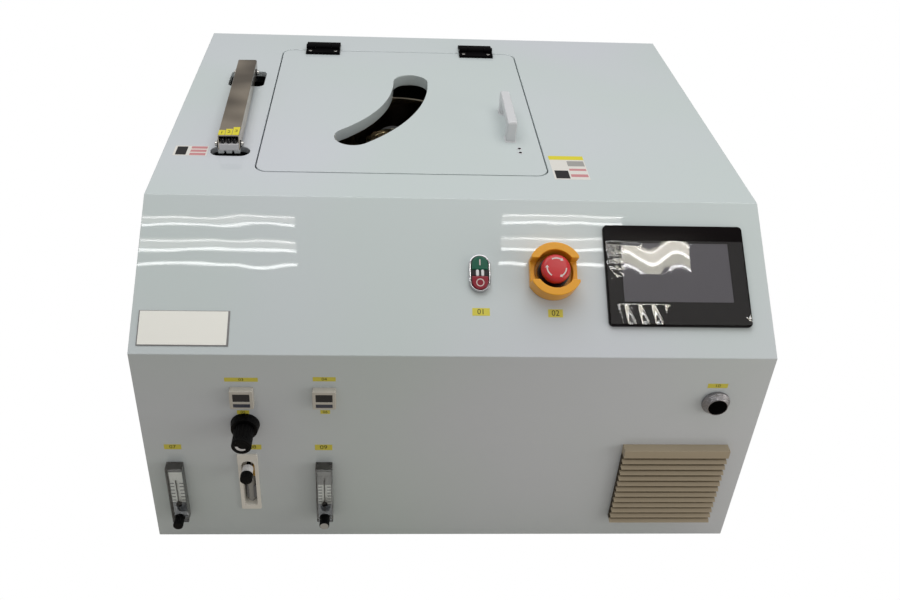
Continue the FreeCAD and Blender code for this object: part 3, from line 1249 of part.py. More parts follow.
# Two rotameters: clear blocks with a tapered bore, a float inside and a needle valve knob below.
meters = []
BORE_LOW = "(meter_rise + meter_bore_shift - meter_bore_height / 2)"
for side, place in (("left", "meter_left_x"), ("right", "meter_right_x")):
    clear = slab("meter_block", place + " - meter_width / 2", "meter_rise - meter_height / 2",
                 place + " + meter_width / 2", "meter_rise + meter_height / 2", "0", "meter_proud",
                 "meter_corner",
                 "meter_edge")
    ports = []
    for rise in ("meter_knob_rise", "(2 * meter_rise - meter_knob_rise)"):
        ports.append(rod("meter_port", (place, rise, "-meter_port_length"), "meter_port_radius",
                         "meter_port_length"))
        front_holes.append(rod("meter_hole", (place, rise, "-2 * sheet_thickness"),
                               "meter_port_radius + slack",
                               "4 * sheet_thickness"))
    bore = rod("meter_bore", (place, BORE_LOW, "meter_proud / 2"), "meter_bore_radius", "meter_bore_height",
               ALONG_Y)
    valve = rod("meter_valve", (place, "meter_knob_rise", "meter_proud / 2"),
                "meter_stem_radius + running_fit",
                "meter_proud")
    meters.append(cut("rotameter_body", fused("meter_blank", clear, *ports), bore, valve))
    ball = rod("float_body", (place, BORE_LOW + " + slack", "meter_proud / 2"), "meter_bore_radius - slack",
               "float_height - float_skirt_height", ALONG_Y)
    skirt = cone("float_skirt",
                 (place, BORE_LOW + " + slack + float_height - float_skirt_height", "meter_proud / 2"),
                 "meter_bore_radius - slack", "meter_bore_radius / 2", "float_skirt_height", ALONG_Y)
    piece(side + "_float", on_front(fused(side + "_float", ball, skirt)))
    grip = rod("meter_grip", (place, "meter_knob_rise", "meter_proud + slack"), "meter_knob_radius",
               "meter_knob_reach - meter_proud - slack")
    spindle = rod("meter_spindle", (place, "meter_knob_rise", "meter_proud / 2 + slack"), "meter_stem_radius",
                  "meter_proud / 2 + slack")
    piece(side + "_flow_knob", on_front(fused(side + "_flow_knob", grip, spindle)))
piece("rotameter_bodies", on_front(group("rotameter_bodies", *meters)))

# Buzzer: chromed ring with a black sounder in it.
buzzer_ring = cone("buzzer_ring", ("buzzer_x", "buzzer_rise", "0"), "buzzer_radius",
                   "buzzer_radius - buzzer_taper", "buzzer_proud")
buzzer_cap = rod("buzzer_cap", ("buzzer_x", "buzzer_rise", "0"), "buzzer_cap_radius", "buzzer_cap_proud")
buzzer_neck = rod("buzzer_neck", ("buzzer_x", "buzzer_rise", "-4 * sheet_thickness"), "mounting_radius",
                  "4 * sheet_thickness")
piece("buzzer", on_front(fused("buzzer", buzzer_ring, buzzer_cap, buzzer_neck)))
front_holes.append(rod("buzzer_hole", ("buzzer_x", "buzzer_rise", "-2 * sheet_thickness"),
                       "mounting_radius + slack",
                       "4 * sheet_thickness"))

# Vent grille: a moulded hood with sloping louvres between its side cheeks.
GRILLE_LOW = "(grille_rise - grille_size / 2)"
GRILLE_HIGH = "(grille_rise + grille_size / 2)"
GRILLE_LEFT = "(grille_x - grille_size / 2)"
grille_plate = block("grille_plate", ("grille_x", "grille_rise", "0"),
                     ("grille_size", "grille_size", "grille_frame / 2"))
cheeks = [box("grille_cheek", (start, GRILLE_LOW, "0"), ("grille_frame", "grille_size", "grille_proud"))
          for start in (GRILLE_LEFT, GRILLE_LEFT + " + grille_size - grille_frame")]
header = box("grille_header", (GRILLE_LEFT, GRILLE_HIGH + " - grille_header", "0"),
             ("grille_size", "grille_header", "grille_proud"))
air_window = rod("air_window", ("grille_x", "grille_rise", "-overrun"), "fan_bore_radius", "grille_proud / 2")
louvre_body = doc.addObject("PartDesign::Body", "louvres")
louvre_page = outline(drawing(louvre_body, "YZ_Plane", "louvre_profile", GRILLE_LEFT), [
    (GRILLE_LOW, "grille_proud - louvre_thickness"), (GRILLE_LOW, "grille_proud"),
    (GRILLE_LOW + " + louvre_thickness", "grille_proud"),
    (GRILLE_LOW + " + louvre_pitch", "grille_frame / 4 + louvre_thickness"),
    (GRILLE_LOW + " + louvre_pitch", "grille_frame / 4")])
pad(louvre_body, louvre_page, "grille_size")
louvres = [louvre_body]
for number in range(1, SIZES["louvre_count"]):
    copy = doc.addObject("App::Link", "louvre_copy")
    copy.LinkedObject = louvre_body
    copy.setExpression(".LinkPlacement.Base.y", full("%d * louvre_pitch" % number))
    louvres.append(copy)
grille_spigot = cut("grille_spigot",
                    block("spigot_outside", ("grille_x", "grille_rise", "-spigot_depth"),
                          ("spigot_size", "spigot_size", "spigot_depth + grille_frame / 2")),
                    block("spigot_inside", ("grille_x", "grille_rise", "-spigot_depth - overrun"),
                          ("spigot_size - 2 * spigot_wall", "spigot_size - 2 * spigot_wall",
                           "spigot_depth + overrun")))
piece("vent_grille", on_front(fused("vent_grille", cut("grille_base", grille_plate, air_window),
                                    *cheeks, header, *louvres, grille_spigot)))
front_holes.append(block("grille_hole", ("grille_x", "grille_rise", "-2 * sheet_thickness"),
                         ("spigot_size + 2 * slack", "spigot_size + 2 * slack", "4 * sheet_thickness")))

# Fan behind the grille: square frame with a round bore, and a bladed rotor on the frame's hub.
FAN_BACK = "(-spigot_depth - fan_depth)"
fan_block = slab("fan_block", "grille_x - fan_size / 2", "grille_rise - fan_size / 2",
                 "grille_x + fan_size / 2",
                 "grille_rise + fan_size / 2", FAN_BACK, "fan_depth", "fan_corner")
fan_bore = rod("fan_bore", ("grille_x", "grille_rise", FAN_BACK + " + fan_back_wall"), "fan_bore_radius",
               "fan_depth")
fan_vents = []
for step in range(SIZES["fan_vents"]):
    turn = "fan_vent_start + %d * 360 / fan_vents" % step
    vent = rod("fan_vent", ("grille_x", "grille_rise", FAN_BACK + " - overrun"),
               "fan_bore_radius - fan_vent_margin",
               "fan_back_wall + 2 * overrun", ((0, 0, 1), turn))
    vent.setExpression("Angle", full("fan_vent_sweep"))
    fan_vents.append(vent)
fan_boss = rod("fan_boss", ("grille_x", "grille_rise", FAN_BACK), "fan_hub_radius", "fan_boss_height")
fan_axle = rod("fan_axle", ("grille_x", "grille_rise", FAN_BACK), "fan_axle_radius",
               "fan_depth - fan_boss_height")
piece("fan_frame",
      on_front(fused("fan_frame", cut("fan_shell", fan_block, fan_bore, *fan_vents), fan_boss, fan_axle)))
ROTOR_BACK = "(%s + fan_boss_height + slack)" % FAN_BACK
rotor_bore = rod("rotor_bore", ("grille_x", "grille_rise", FAN_BACK), "fan_axle_radius + running_fit",
                 "fan_depth - fan_boss_height + slack")
rotor = doc.addObject("PartDesign::Body", "rotor_body")
rotor_page = drawing(rotor, "XY_Plane", "rotor_hub_outline")
rotor_page.addGeometry(Part.Circle(FreeCAD.Vector(0, 0, 0), FreeCAD.Vector(0, 0, 1), value("fan_hub_radius")))
rotor_page.addConstraint(Sketcher.Constraint("Coincident", 0, 3, -1, 1))
rotor_page.addConstraint(Sketcher.Constraint("Radius", 0, value("fan_hub_radius")))
rotor_page.setExpression("Constraints[1]", full("fan_hub_radius"))
pad(rotor, rotor_page, "fan_rotor_depth", "HubPad")
doc.recompute()
BLADE_LEAN = "(fan_rotor_depth * tan(fan_blade_pitch * 1 deg) / 2)"
blade_page = outline(drawing(rotor, "XZ_Plane", "blade_profile"), [
    ("-fan_blade_thickness - " + BLADE_LEAN, "fan_blade_inset"),
    ("fan_blade_thickness - " + BLADE_LEAN, "fan_blade_inset"),
    ("fan_blade_thickness + " + BLADE_LEAN, "fan_rotor_depth - fan_blade_inset"),
    ("-fan_blade_thickness + " + BLADE_LEAN, "fan_rotor_depth - fan_blade_inset")])
blade = pad(rotor, blade_page, "fan_blade_radius", "BladePad")
doc.recompute()
blades = rotor.newObject("PartDesign::PolarPattern", "Blades")
blades.Originals = [blade]
blades.Axis = (rotor_page, ["N_Axis"])
blades.Angle = 360
blades.setExpression("Occurrences", full("fan_blades"))
rotor.Tip = blades
put(rotor, ("grille_x", "grille_rise", ROTOR_BACK))
piece("fan_rotor", on_front(cut("fan_rotor", rotor, rotor_bore)))

front_sheet = extruded("front_sheet",
                       [(FRONT, "foot_height"), CORNER_LOW, CORNER_LOW_IN, (SLOPE_IN_Y, "foot_height")],
                       "-%s / 2" % INSIDE, INSIDE)
piece("front_panel", cut("front_panel", front_sheet, on_front(fused("front_holes", *front_holes))))

# Rear: supply couplings, cable gland, and the openings for exhaust and drain.
fittings = []
rear_holes = [
    rod("exhaust_hole", ("-" + CHUCK_X, DUCT_Z + " - foot_height", "-2 * sheet_thickness"),
        "duct_radius + slack",
        "4 * sheet_thickness"),
    rod("drain_hole", ("-" + DRAIN_X, DRAIN_Z + " - foot_height", "-2 * sheet_thickness"),
        "drain_radius + slack",
        "4 * sheet_thickness")]
for shift in ("-fitting_pitch", "0", "fitting_pitch"):
    across = "(-fitting_x - (%s))" % shift
    outside = rod("fitting_outside", (across, "fitting_rise", "0"), "fitting_radius", "fitting_proud")
    inside = rod("fitting_inside", (across, "fitting_rise", "-sheet_thickness - fitting_proud"),
                 "fitting_radius",
                 "fitting_proud")
    thread = rod("fitting_thread", (across, "fitting_rise", "-sheet_thickness"), "fitting_thread_radius",
                 "sheet_thickness")
    sockets = [rod("outer_socket", (across, "fitting_rise", "fitting_proud - socket_depth"),
                   "fitting_bore_radius",
                   "socket_depth"),
               rod("inner_socket", (across, "fitting_rise", "-sheet_thickness - fitting_proud"),
                   "fitting_bore_radius", "socket_depth"),
               rod("fitting_way", (across, "fitting_rise", "-sheet_thickness - fitting_proud"),
                   "fitting_bore_radius / 2", "2 * fitting_proud + sheet_thickness")]
    fittings.append(cut("supply_fitting", fused("fitting_blank", outside, inside, thread), *sockets))
    rear_holes.append(rod("fitting_hole", (across, "fitting_rise", "-2 * sheet_thickness"),
                          "fitting_thread_radius + slack", "4 * sheet_thickness"))
gland_outside = cone("gland_outside", ("-gland_x", "gland_rise", "0"), "gland_radius", "gland_tip_radius",
                     "fitting_proud")
gland_thread = rod("gland_thread", ("-gland_x", "gland_rise", "-sheet_thickness - gland_nut_height"),
                   "gland_thread_radius", "sheet_thickness + gland_nut_height")
gland_nut = rod("gland_nut", ("-gland_x", "gland_rise", "-sheet_thickness - gland_nut_height"),
                "gland_radius",
                "gland_nut_height")
gland_bore = rod("gland_bore", ("-gland_x", "gland_rise", "-4 * sheet_thickness"), "gland_bore_radius",
                 "8 * sheet_thickness")
fittings.append(cut("cable_gland", fused("gland_blank", gland_outside, gland_thread, gland_nut), gland_bore))
rear_holes.append(rod("gland_hole", ("-gland_x", "gland_rise", "-2 * sheet_thickness"),
                      "gland_thread_radius + slack", "4 * sheet_thickness"))
piece("rear_fittings", on_rear(group("rear_fittings", *fittings)))
rear_sheet = box("rear_sheet", ("-%s / 2" % INSIDE, REAR + " - sheet_thickness", "foot_height"),
                 (INSIDE, "sheet_thickness", "front_height + slope_rise - sheet_thickness"))
piece("rear_panel", cut("rear_panel", rear_sheet, on_rear(fused("rear_holes", *rear_holes))))

# On the base: the control box and the dispense valves.
box_tray = block("box_tray", ("control_box_x", "control_box_y", FLOOR),
                 ("control_box_width", "control_box_length", "control_box_height"))
box_cover = block("box_cover", ("control_box_x", "control_box_y", FLOOR + " + control_box_height"),
                  ("control_box_width + 2 * box_cover_overlap", "control_box_length + 2 * box_cover_overlap",
                   "box_cover_thickness"))
piece("control_box", fused("control_box", box_tray, box_cover))
valve_base = block("valve_base", ("valve_block_x", "valve_block_y", FLOOR),
                   ("valve_block_width", "valve_block_length", "valve_block_height"))
valves = [valve_base]
for shift in ("-valve_block_width / 3", "0", "valve_block_width / 3"):
    across = "valve_block_x + (%s)" % shift
    valves.append(rod("solenoid", (across, "valve_block_y", FLOOR + " + valve_block_height"),
                      "solenoid_radius",
                      "solenoid_height"))
piece("valve_block", fused("valve_block", *valves))

doc.recompute()

for thing in doc.Objects:
    for word in ("Invalid", "Error"):
        if word in thing.State:
            raise SystemExit("%s (%s) is %s" % (thing.Name, thing.Label, word))

os.makedirs("parts", exist_ok=True)
for name, thing in pieces.items():
    shape = thing.Shape
    if shape.isNull() or not shape.isValid() or not shape.Solids:
        raise SystemExit("%s has no valid solid" % name)
    shape.exportStep("parts/%s.step" % name)
print(len(pieces), "pieces")
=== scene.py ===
import json
from math import radians

import bmesh
import bpy
import numpy as np
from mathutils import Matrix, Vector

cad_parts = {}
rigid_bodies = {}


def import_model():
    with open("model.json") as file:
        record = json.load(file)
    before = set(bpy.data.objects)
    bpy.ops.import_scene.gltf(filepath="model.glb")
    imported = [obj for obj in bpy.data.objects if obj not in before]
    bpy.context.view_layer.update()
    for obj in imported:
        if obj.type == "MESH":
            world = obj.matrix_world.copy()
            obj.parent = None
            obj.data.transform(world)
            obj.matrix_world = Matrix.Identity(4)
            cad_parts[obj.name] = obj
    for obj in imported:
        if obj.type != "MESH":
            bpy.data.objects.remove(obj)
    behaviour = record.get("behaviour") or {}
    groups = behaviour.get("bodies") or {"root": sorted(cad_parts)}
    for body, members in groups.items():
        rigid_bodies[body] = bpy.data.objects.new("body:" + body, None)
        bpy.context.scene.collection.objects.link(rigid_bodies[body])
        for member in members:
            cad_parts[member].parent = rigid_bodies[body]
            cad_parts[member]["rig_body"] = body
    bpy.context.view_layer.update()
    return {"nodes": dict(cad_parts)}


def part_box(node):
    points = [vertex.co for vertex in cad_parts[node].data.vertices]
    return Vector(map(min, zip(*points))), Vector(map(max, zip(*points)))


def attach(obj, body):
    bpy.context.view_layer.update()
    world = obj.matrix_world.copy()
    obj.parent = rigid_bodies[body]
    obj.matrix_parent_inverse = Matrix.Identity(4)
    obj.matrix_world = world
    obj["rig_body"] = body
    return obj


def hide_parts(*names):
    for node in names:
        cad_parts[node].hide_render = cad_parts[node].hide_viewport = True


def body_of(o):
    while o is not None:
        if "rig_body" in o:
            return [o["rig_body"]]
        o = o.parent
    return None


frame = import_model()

MM = 0.001
nodes = frame["nodes"]
scene = bpy.context.scene
scene.view_settings.view_transform = "Standard"

# Camera
# It stands at the operator's head height, a little left of the cabinet's middle, and looks down on it.
# Its place and lens were worked out from the cabinet's edges and the touch panel's corners.
camera = bpy.data.objects.new("camera", bpy.data.cameras.new("camera"))
camera.data.sensor_width = 36
camera.data.lens = 36.45
camera.data.shift_x = 0.0325
camera.data.shift_y = -0.0818
camera.location = (-0.1097, -1.3338, 1.1887)
camera.rotation_euler = [radians(angle) for angle in (57.14, -2.13, -1.80)]
scene.collection.objects.link(camera)
scene.camera = camera


# Floor, world and lamps
# A pale seamless floor under a large soft ceiling light, with a soft window to the right. Tubes in trays hang
# nearer the operator, and the slope mirrors them as streaks; the touch panel mirrors a small diffuser.
def linear(code):
    """Turns an sRGB hex colour into linear red, green, blue and full alpha."""
    share = np.array([int(code[i:i + 2], 16) for i in (1, 3, 5)]) / 255
    bright = np.where(share > 0.04045, ((share + 0.055) / 1.055) ** 2.4, share / 12.92)
    return (*bright, 1)


def add(tree, kind, inputs, **settings):
    """Adds a node with its settings. Each input is a value, or the socket that feeds it."""
    node = tree.nodes.new(kind)
    for name, setting in settings.items():
        setattr(node, name, setting)
    for name, given in inputs.items():
        if isinstance(given, bpy.types.NodeSocket):
            tree.links.new(given, node.inputs[name])
        else:
            node.inputs[name].default_value = given
    return node


def seen_directly(tree):
    """One on the rays that show a backdrop: those of the camera, and those through glass."""
    path = add(tree, "ShaderNodeLightPath", {})
    sockets = {0: path.outputs["Is Camera Ray"], 1: path.outputs["Is Transmission Ray"]}
    return add(tree, "ShaderNodeMath", sockets, operation="MAXIMUM").outputs[0]


room_light = 0.35
world = bpy.data.worlds.new("studio")
scene.world = world
world.use_nodes = True
tree = world.node_tree
tree.nodes.clear()
room = add(tree, "ShaderNodeBackground", {"Color": linear("#FFFDFA"), "Strength": room_light})
backdrop = add(tree, "ShaderNodeBackground", {"Color": linear("#FFFFFF"), "Strength": 1})
mixed = add(tree, "ShaderNodeMixShader", {0: seen_directly(tree), 1: room.outputs[0], 2: backdrop.outputs[0]})
add(tree, "ShaderNodeOutputWorld", {"Surface": mixed.outputs[0]})

floor_reach = 6
floor_corners = floor_reach * np.array([(-1, -1, 0), (1, -1, 0), (1, 1, 0), (-1, 1, 0)])
mesh = bpy.data.meshes.new("floor")
mesh.from_pydata(floor_corners, [], [(0, 1, 2, 3)])
floor = bpy.data.objects.new("floor", mesh)
scene.collection.objects.link(floor)
paint = bpy.data.materials.new("floor_paint")
paint.use_nodes = True
tree = paint.node_tree
tree.nodes.clear()
shown = add(tree, "ShaderNodeEmission", {"Color": linear("#FFFFFF"), "Strength": 1})
bounce = add(tree, "ShaderNodeBsdfDiffuse", {"Color": linear("#C7C1B8")})
mixed = add(tree, "ShaderNodeMixShader", {0: seen_directly(tree), 1: bounce.outputs[0], 2: shown.outputs[0]})
add(tree, "ShaderNodeOutputMaterial", {"Surface": mixed.outputs[0]})
mesh.materials.append(paint)


def lamp(name, place, size, watts, tint):
    """Hangs a rectangular lamp that shines straight down; place and size are in metres."""
    light = bpy.data.lights.new(name, "AREA")
    light.shape = "RECTANGLE"
    light.size, light.size_y = size
    light.energy = watts
    light.color = linear(tint)[:3]
    hung = bpy.data.objects.new(name, light)
    hung.location = place
    hung.visible_camera = False
    scene.collection.objects.link(hung)
    return hung


def fitting(name, place, size, radiance, tint):
    """Hangs a lamp whose face is as bright as its radiance, whatever its size."""
    lamp(name, place, size, radiance * np.pi * size[0] * size[1], tint)


lamp("ceiling_light", (0, 0.30, 2.7), (3.2, 1.8), 35.5, "#FFFFFF")
window_light = lamp("window_light", (1.6, -0.95, 0.6), (1.0, 1.0), 7, "#FFFAF2")
window_light.rotation_euler = (radians(78), 0, radians(62))
fitting("panel_diffuser", (0.735, -0.806, 1.93), (0.25, 0.088), 4.3, "#FFFBE6")

# On each side two tubes hang below each of two trays, and a fifth hangs alone. In metres: where the tubes start
# at their left, where those of the first tray and the others end, and how far from the cabinet's middle each is.
hanging_height, tube_radiance = 1.9, 13
tray_lift, tray_radiance = 0.02, 2.4
tube_widths = (0.003, 0.008, 0.003, 0.009, 0.009)
for side, start, ends, places in (("left", -1.00, (-0.362, -0.362), (-0.709, -0.7335, -0.787, -0.814, -0.862)),
                                  ("right", 0.265, (0.640, 0.86), (-0.690, -0.7135, -0.763, -0.800, -0.846))):
    for tray, end in enumerate(ends):
        near, far = places[2 * tray:2 * tray + 2]
        fitting("%s_tray_%d" % (side, tray), ((start + end) / 2, (near + far) / 2, hanging_height + tray_lift),
                (end - start, near - far), tray_radiance, "#FFF6EE")
    for row, (y, width) in enumerate(zip(places, tube_widths)):
        end = ends[row > 1]
        fitting("%s_tube_%d" % (side, row), ((start + end) / 2, y, hanging_height), (end - start, width),
                tube_radiance, "#FFFFFF")


# Cabinet
# Polypropylene sheet, 10 mm thick, heated and folded at the slope and butt-welded along its edges,
# so that the sheets read as one skin with softly broken corners.
def merged(name, *sources):
    """One mesh of several, its points joined within a micrometre and its flat faces whole."""
    build = bmesh.new()
    for source in sources:
        build.from_mesh(source)
    bmesh.ops.remove_doubles(build, verts=build.verts, dist=1e-6)
    bmesh.ops.dissolve_limit(build, angle_limit=radians(0.5), verts=build.verts, edges=build.edges)
    mesh = bpy.data.meshes.new(name)
    build.to_mesh(mesh)
    build.free()
    mesh.materials.clear()
    return mesh


def own(name, mesh, material, body, slot, *replaced, edge=0):
    """Makes a piece: its mesh, its finish, the body that carries it, and the CAD nodes it stands for.
    A stated edge breaks its sharp corners by that many millimetres. Flat faces keep their own normals."""
    thing = bpy.data.objects.new(name, mesh)
    scene.collection.objects.link(thing)
    mesh.materials.append(material)
    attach(thing, body)
    if replaced:
        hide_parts(*replaced)
    if edge:
        mesh.shade_smooth()
        bevel = thing.modifiers.new("edges", "BEVEL")
        bevel.width = edge * MM
        bevel.segments = 2
        bevel.limit_method = "ANGLE"
        bevel.angle_limit = radians(30)
        bevel.use_clamp_overlap = False
    normals = thing.modifiers.new("normals", "WEIGHTED_NORMAL")
    normals.weight = 100
    normals.keep_sharp = True


def finish(name, colour, roughness, **inputs):
    """A plain material: its colour, its roughness, and further inputs of its shader by name."""
    material = bpy.data.materials.new(name)
    material.use_nodes = True
    tree = material.node_tree
    tree.nodes.clear()
    further = {socket.replace("_", " "): setting for socket, setting in inputs.items()}
    shader = add(tree, "ShaderNodeBsdfPrincipled",
                 {"Base Color": linear(colour), "Roughness": roughness, **further})
    add(tree, "ShaderNodeOutputMaterial", {"Surface": shader.outputs[0]})
    return material


def noise(tree, lump, detail, drawn_out=1):
    """A pattern with lumps of so many millimetres, drawn out along the piece's y axis by a factor."""
    place = add(tree, "ShaderNodeTexCoord", {}).outputs["Object"]
    spread = add(tree, "ShaderNodeMapping", {"Vector": place, "Scale": (1, 1 / drawn_out, 1)}).outputs[0]
    sizes = {"Vector": spread, "Scale": 1 / (lump * MM), "Detail": detail}
    return add(tree, "ShaderNodeTexNoise", sizes).outputs[0]


def toned(material, lump, *stops):
    """Colours a material by a pattern of lumps, through a ramp of pairs of share and colour."""
    tree = material.node_tree
    ramp = add(tree, "ShaderNodeValToRGB", {"Fac": noise(tree, lump, 1)})
    for stop, (share, tone) in zip(ramp.color_ramp.elements, stops):
        stop.position = share
        stop.color = linear(tone)
    tree.links.new(ramp.outputs[0], tree.nodes["Principled BSDF"].inputs["Base Color"])


def bumped(material, *layers):
    """Bumps a material by layers, each on the one before: lump and detail of the pattern, strength, and
    depth in millimetres, then how far the pattern is drawn out, if it is."""
    tree = material.node_tree
    below = {}
    for lump, detail, strength, depth, *drawn_out in layers:
        height = noise(tree, lump, detail, *drawn_out)
        bump = add(tree, "ShaderNodeBump",
                   {"Height": height, "Strength": strength, "Distance": depth * MM, **below})
        below = {"Normal": bump.outputs[0]}
    tree.links.new(bump.outputs[0], tree.nodes["Principled BSDF"].inputs["Normal"])


def painted(material, *names):
    """Gives CAD nodes a material in place of their plain one."""
    for name in names:
        for slot in nodes[name].material_slots:
            slot.material = material


# Extruded polypropylene: glossy, a little uneven in tone, and never quite flat, so that what it mirrors wavers.
sheet = finish("extruded_polypropylene", "#CFD8DC", 0.02, IOR=1.49)
toned(sheet, 350, (0.35, "#CED8D8"), (0.65, "#D2D7DD"))
bumped(sheet, (90, 1, 1, 0.3), (1.2, 2, 0.15, 0.01))

# The walls' sheets become one skin by a union, so that no seam or doubled face shows where they meet.
walls = ["side_panels", "front_panel", "control_panel", "top_panel", "rear_panel"]
core, *others = [bpy.data.objects.new(wall + "_sheet", merged(wall + "_sheet", nodes[wall].data))
                 for wall in walls]
scene.collection.objects.link(core)
joined = bpy.data.collections.new("other_sheets")
for other in others:
    joined.objects.link(other)
weld = core.modifiers.new("weld", "BOOLEAN")
weld.operation = "UNION"
weld.operand_type = "COLLECTION"
weld.collection = joined
weld.solver = "EXACT"
welded = bpy.data.meshes.new_from_object(core.evaluated_get(bpy.context.evaluated_depsgraph_get()))
for spare in (core, *others):
    bpy.data.objects.remove(spare)
bpy.data.collections.remove(joined)
own("cabinet_skin", merged("cabinet_skin", welded), sheet, "root", "cabinet_sheet", *walls, edge=1.0)

painted(sheet, "base_plate", "lid_seat_frame")
# The chamber deck and the parking cup are painted near-black: painted shade, for the dark under the lid and in
# the deep parking cup.
painted(finish("polypropylene_painted_shade", "#141516", 0.5), "parking_cup", "chamber_deck")


# Lid
# Polypropylene plate with the arc slot that the nozzles pass through. Its bow handle is white
# polypropylene, hot-welded at its feet. Two small screws near it hold the interlock magnet.
def dressed(name, material, source, edge):
    """A piece in the shape of a CAD node, with its sharp edges broken by so many millimetres."""
    node = nodes[source]
    slot = node.material_slots[0].material.name
    own(name, merged(name + "_shape", node.data), material, body_of(node)[0], slot, source, edge=edge)


def home(origin, across, up):
    """A home frame: an origin in millimetres, and unit axes across, up and out of a surface."""
    across, up = (np.array(axis) / np.linalg.norm(axis) for axis in (across, up))
    return np.array(origin, float), np.array([across, up, np.cross(across, up)])


def stacked(rings, closed=True):
    """Skins a stack of equal rings of points, and closes its ends unless the stack is itself a loop."""
    count = len(rings[0])
    turn = np.arange(count)
    faces = [(level * count + a, level * count + b, (level + 1) * count + b, (level + 1) * count + a)
             for level in range(len(rings) - 1) for a, b in zip(turn, np.roll(turn, -1))]
    if closed:
        faces += [tuple(turn[::-1]), tuple((len(rings) - 1) * count + turn)]
    return np.concatenate(rings), faces


def loop(width, height, corner, level, x=0, y=0, steps=6):
    """Points around a rounded rectangle; corner is one radius, or four from the upper right turning left."""
    quarter = np.linspace(0, np.pi / 2, steps + 1)
    points = []
    ways = ((1, 1), (-1, 1), (-1, -1), (1, -1))
    for number, (radius, (right, up)) in enumerate(zip(np.broadcast_to(corner, 4), ways)):
        turn = quarter + number * np.pi / 2
        points.append(np.stack([x + right * (width / 2 - radius) + radius * np.cos(turn),
                                y + up * (height / 2 - radius) + radius * np.sin(turn),
                                np.full(steps + 1, float(level))], axis=1))
    return np.concatenate(points)


def pressed(width, height, corner, edge, x=0, y=0, steps=6):
    """A rounded plate whose edge runs through pairs of inset and level."""
    return stacked([loop(width - 2 * inset, height - 2 * inset, np.maximum(np.asarray(corner) - inset, 0.01),
                         level, x, y, steps) for inset, level in edge])


def turned(profile, x=0, y=0, steps=48, closed=True):
    """Turns pairs of radius and level about an axis that points out."""
    angles = np.linspace(0, 2 * np.pi, steps, endpoint=False)
    return stacked([
        np.stack([x + radius * np.cos(angles), y + radius * np.sin(angles), level + 0 * angles], axis=1)
        for radius, level in profile], closed)


def piece(name, skins, place, material, body, slot, *replaced):
    """Makes a piece of one or more skins, given in millimetres of a home frame."""
    origin, axes = place
    build = bmesh.new()
    for points, faces in skins:
        corners = [build.verts.new(point) for point in (origin + np.asarray(points) @ axes) * MM]
        for face in faces:
            build.faces.new([corners[number] for number in face])
    bmesh.ops.remove_doubles(build, verts=build.verts, dist=1e-7)
    bmesh.ops.recalc_face_normals(build, faces=build.faces)
    mesh = bpy.data.meshes.new(name)
    build.to_mesh(mesh)
    build.free()
    mesh.shade_smooth()
    mesh.set_sharp_from_angle(angle=radians(35))
    own(name, mesh, material, body, slot, *replaced)


top_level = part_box("lid_panel")[1][2] / MM
TOP = home((0, 0, top_level), (1.0, 0, 0), (0, 1.0, 0))

dressed("lid", sheet, "lid_panel", 0.7)
white_plastic = finish("white_polypropylene", "#D8DADD", 0.3)
dressed("bow_handle", white_plastic, "lid_handle", 1.2)
(low_x, low_y, _), (high_x, high_y, _) = np.array(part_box("lid_handle")) / MM
foot_length, bead_reach = 20, 3
bead = ((0, 0), (0, 0.5), (0.7, 1.2), (1.8, 1.5))
piece("handle_weld_beads", [
    pressed(high_x - low_x + bead_reach, foot_length + bead_reach, 2, bead, (low_x + high_x) / 2, y)
    for y in (low_y + foot_length / 2, high_y - foot_length / 2)], TOP, white_plastic, "lid", "handle_white")

steel = finish("bright_stainless_steel", "#C4C2BE", 0.22, Metallic=1.0)
dressed("lid_screws_dressed", steel, "lid_screws", 0.8)
dark_steel = finish("blackened_steel", "#2E2D2F", 0.4, Metallic=0.8)
magnet_x = 111
washer = ((2.7, 0), (3.9, 0), (3.9, 0.5), (3.5, 0.8), (2.7, 0.8), (2.7, 0))
screw = ((2.6, 0), (2.6, 0.5), (2.2, 0.9), (1.5, 0.9), (1.3, 0.3))
for row, magnet_y in enumerate((-65.3, -78.7)):
    piece("magnet_washer_%d" % row, [turned(washer, magnet_x, magnet_y, 32, False)], TOP,
          white_plastic, "lid", "handle_white")
    piece("magnet_screw_%d" % row, [turned(screw, magnet_x, magnet_y, 32)], TOP,
          dark_steel, "lid", "bright_steel")

# Hinges
# Black glass-filled nylon leaves around steel pins. Two bright screws hold each lid leaf.
nylon = finish("black_nylon", "#040305", 0.6, Specular_IOR_Level=0.05)
dressed("lid_hinge_leaves", nylon, "hinge_lid_leaves", 0.6)
dressed("cabinet_hinge_leaves", nylon, "hinge_body_leaves", 0.6)
painted(steel, "hinge_pins")


# Dispense arm
# A bent stainless cover over an aluminium beam, open in front, where three dark tubes turn down into the
# nozzle block. Yellow labels number the tubes. Socket screws with dark washers hold the cover's sides.
def carried(path, radius, steps=12):
    """A round tube along a path of points in the plane across = constant."""
    path = np.asarray(path, float)
    ahead = np.gradient(path, axis=0)
    ahead /= np.linalg.norm(ahead, axis=1)[:, None]
    across = np.array([1.0, 0, 0])
    angles = np.linspace(0, 2 * np.pi, steps, endpoint=False)
    return stacked([
        centre + radius * (np.outer(np.cos(angles), across) + np.outer(np.sin(angles), np.cross(across, way)))
        for centre, way in zip(path, ahead)])


def arc(centre, radius, start, end, steps=8):
    """Points of an arc in a plane, by its centre, radius and angles in degrees."""
    turn = np.radians(np.linspace(start, end, steps + 1))
    return np.stack([centre[0] + radius * np.cos(turn), centre[1] + radius * np.sin(turn)], axis=1)


def lengthwise(section, start, end):
    """Pairs of across and level, drawn out along the arm."""
    return stacked([np.stack([section[:, 0], np.full(len(section), y), section[:, 1]], axis=1)
                    for y in (start, end)])


def at(place, x, y, z=0):
    """The same home frame, with its origin moved."""
    origin, axes = place
    return origin + np.array([x, y, z]) @ axes, axes


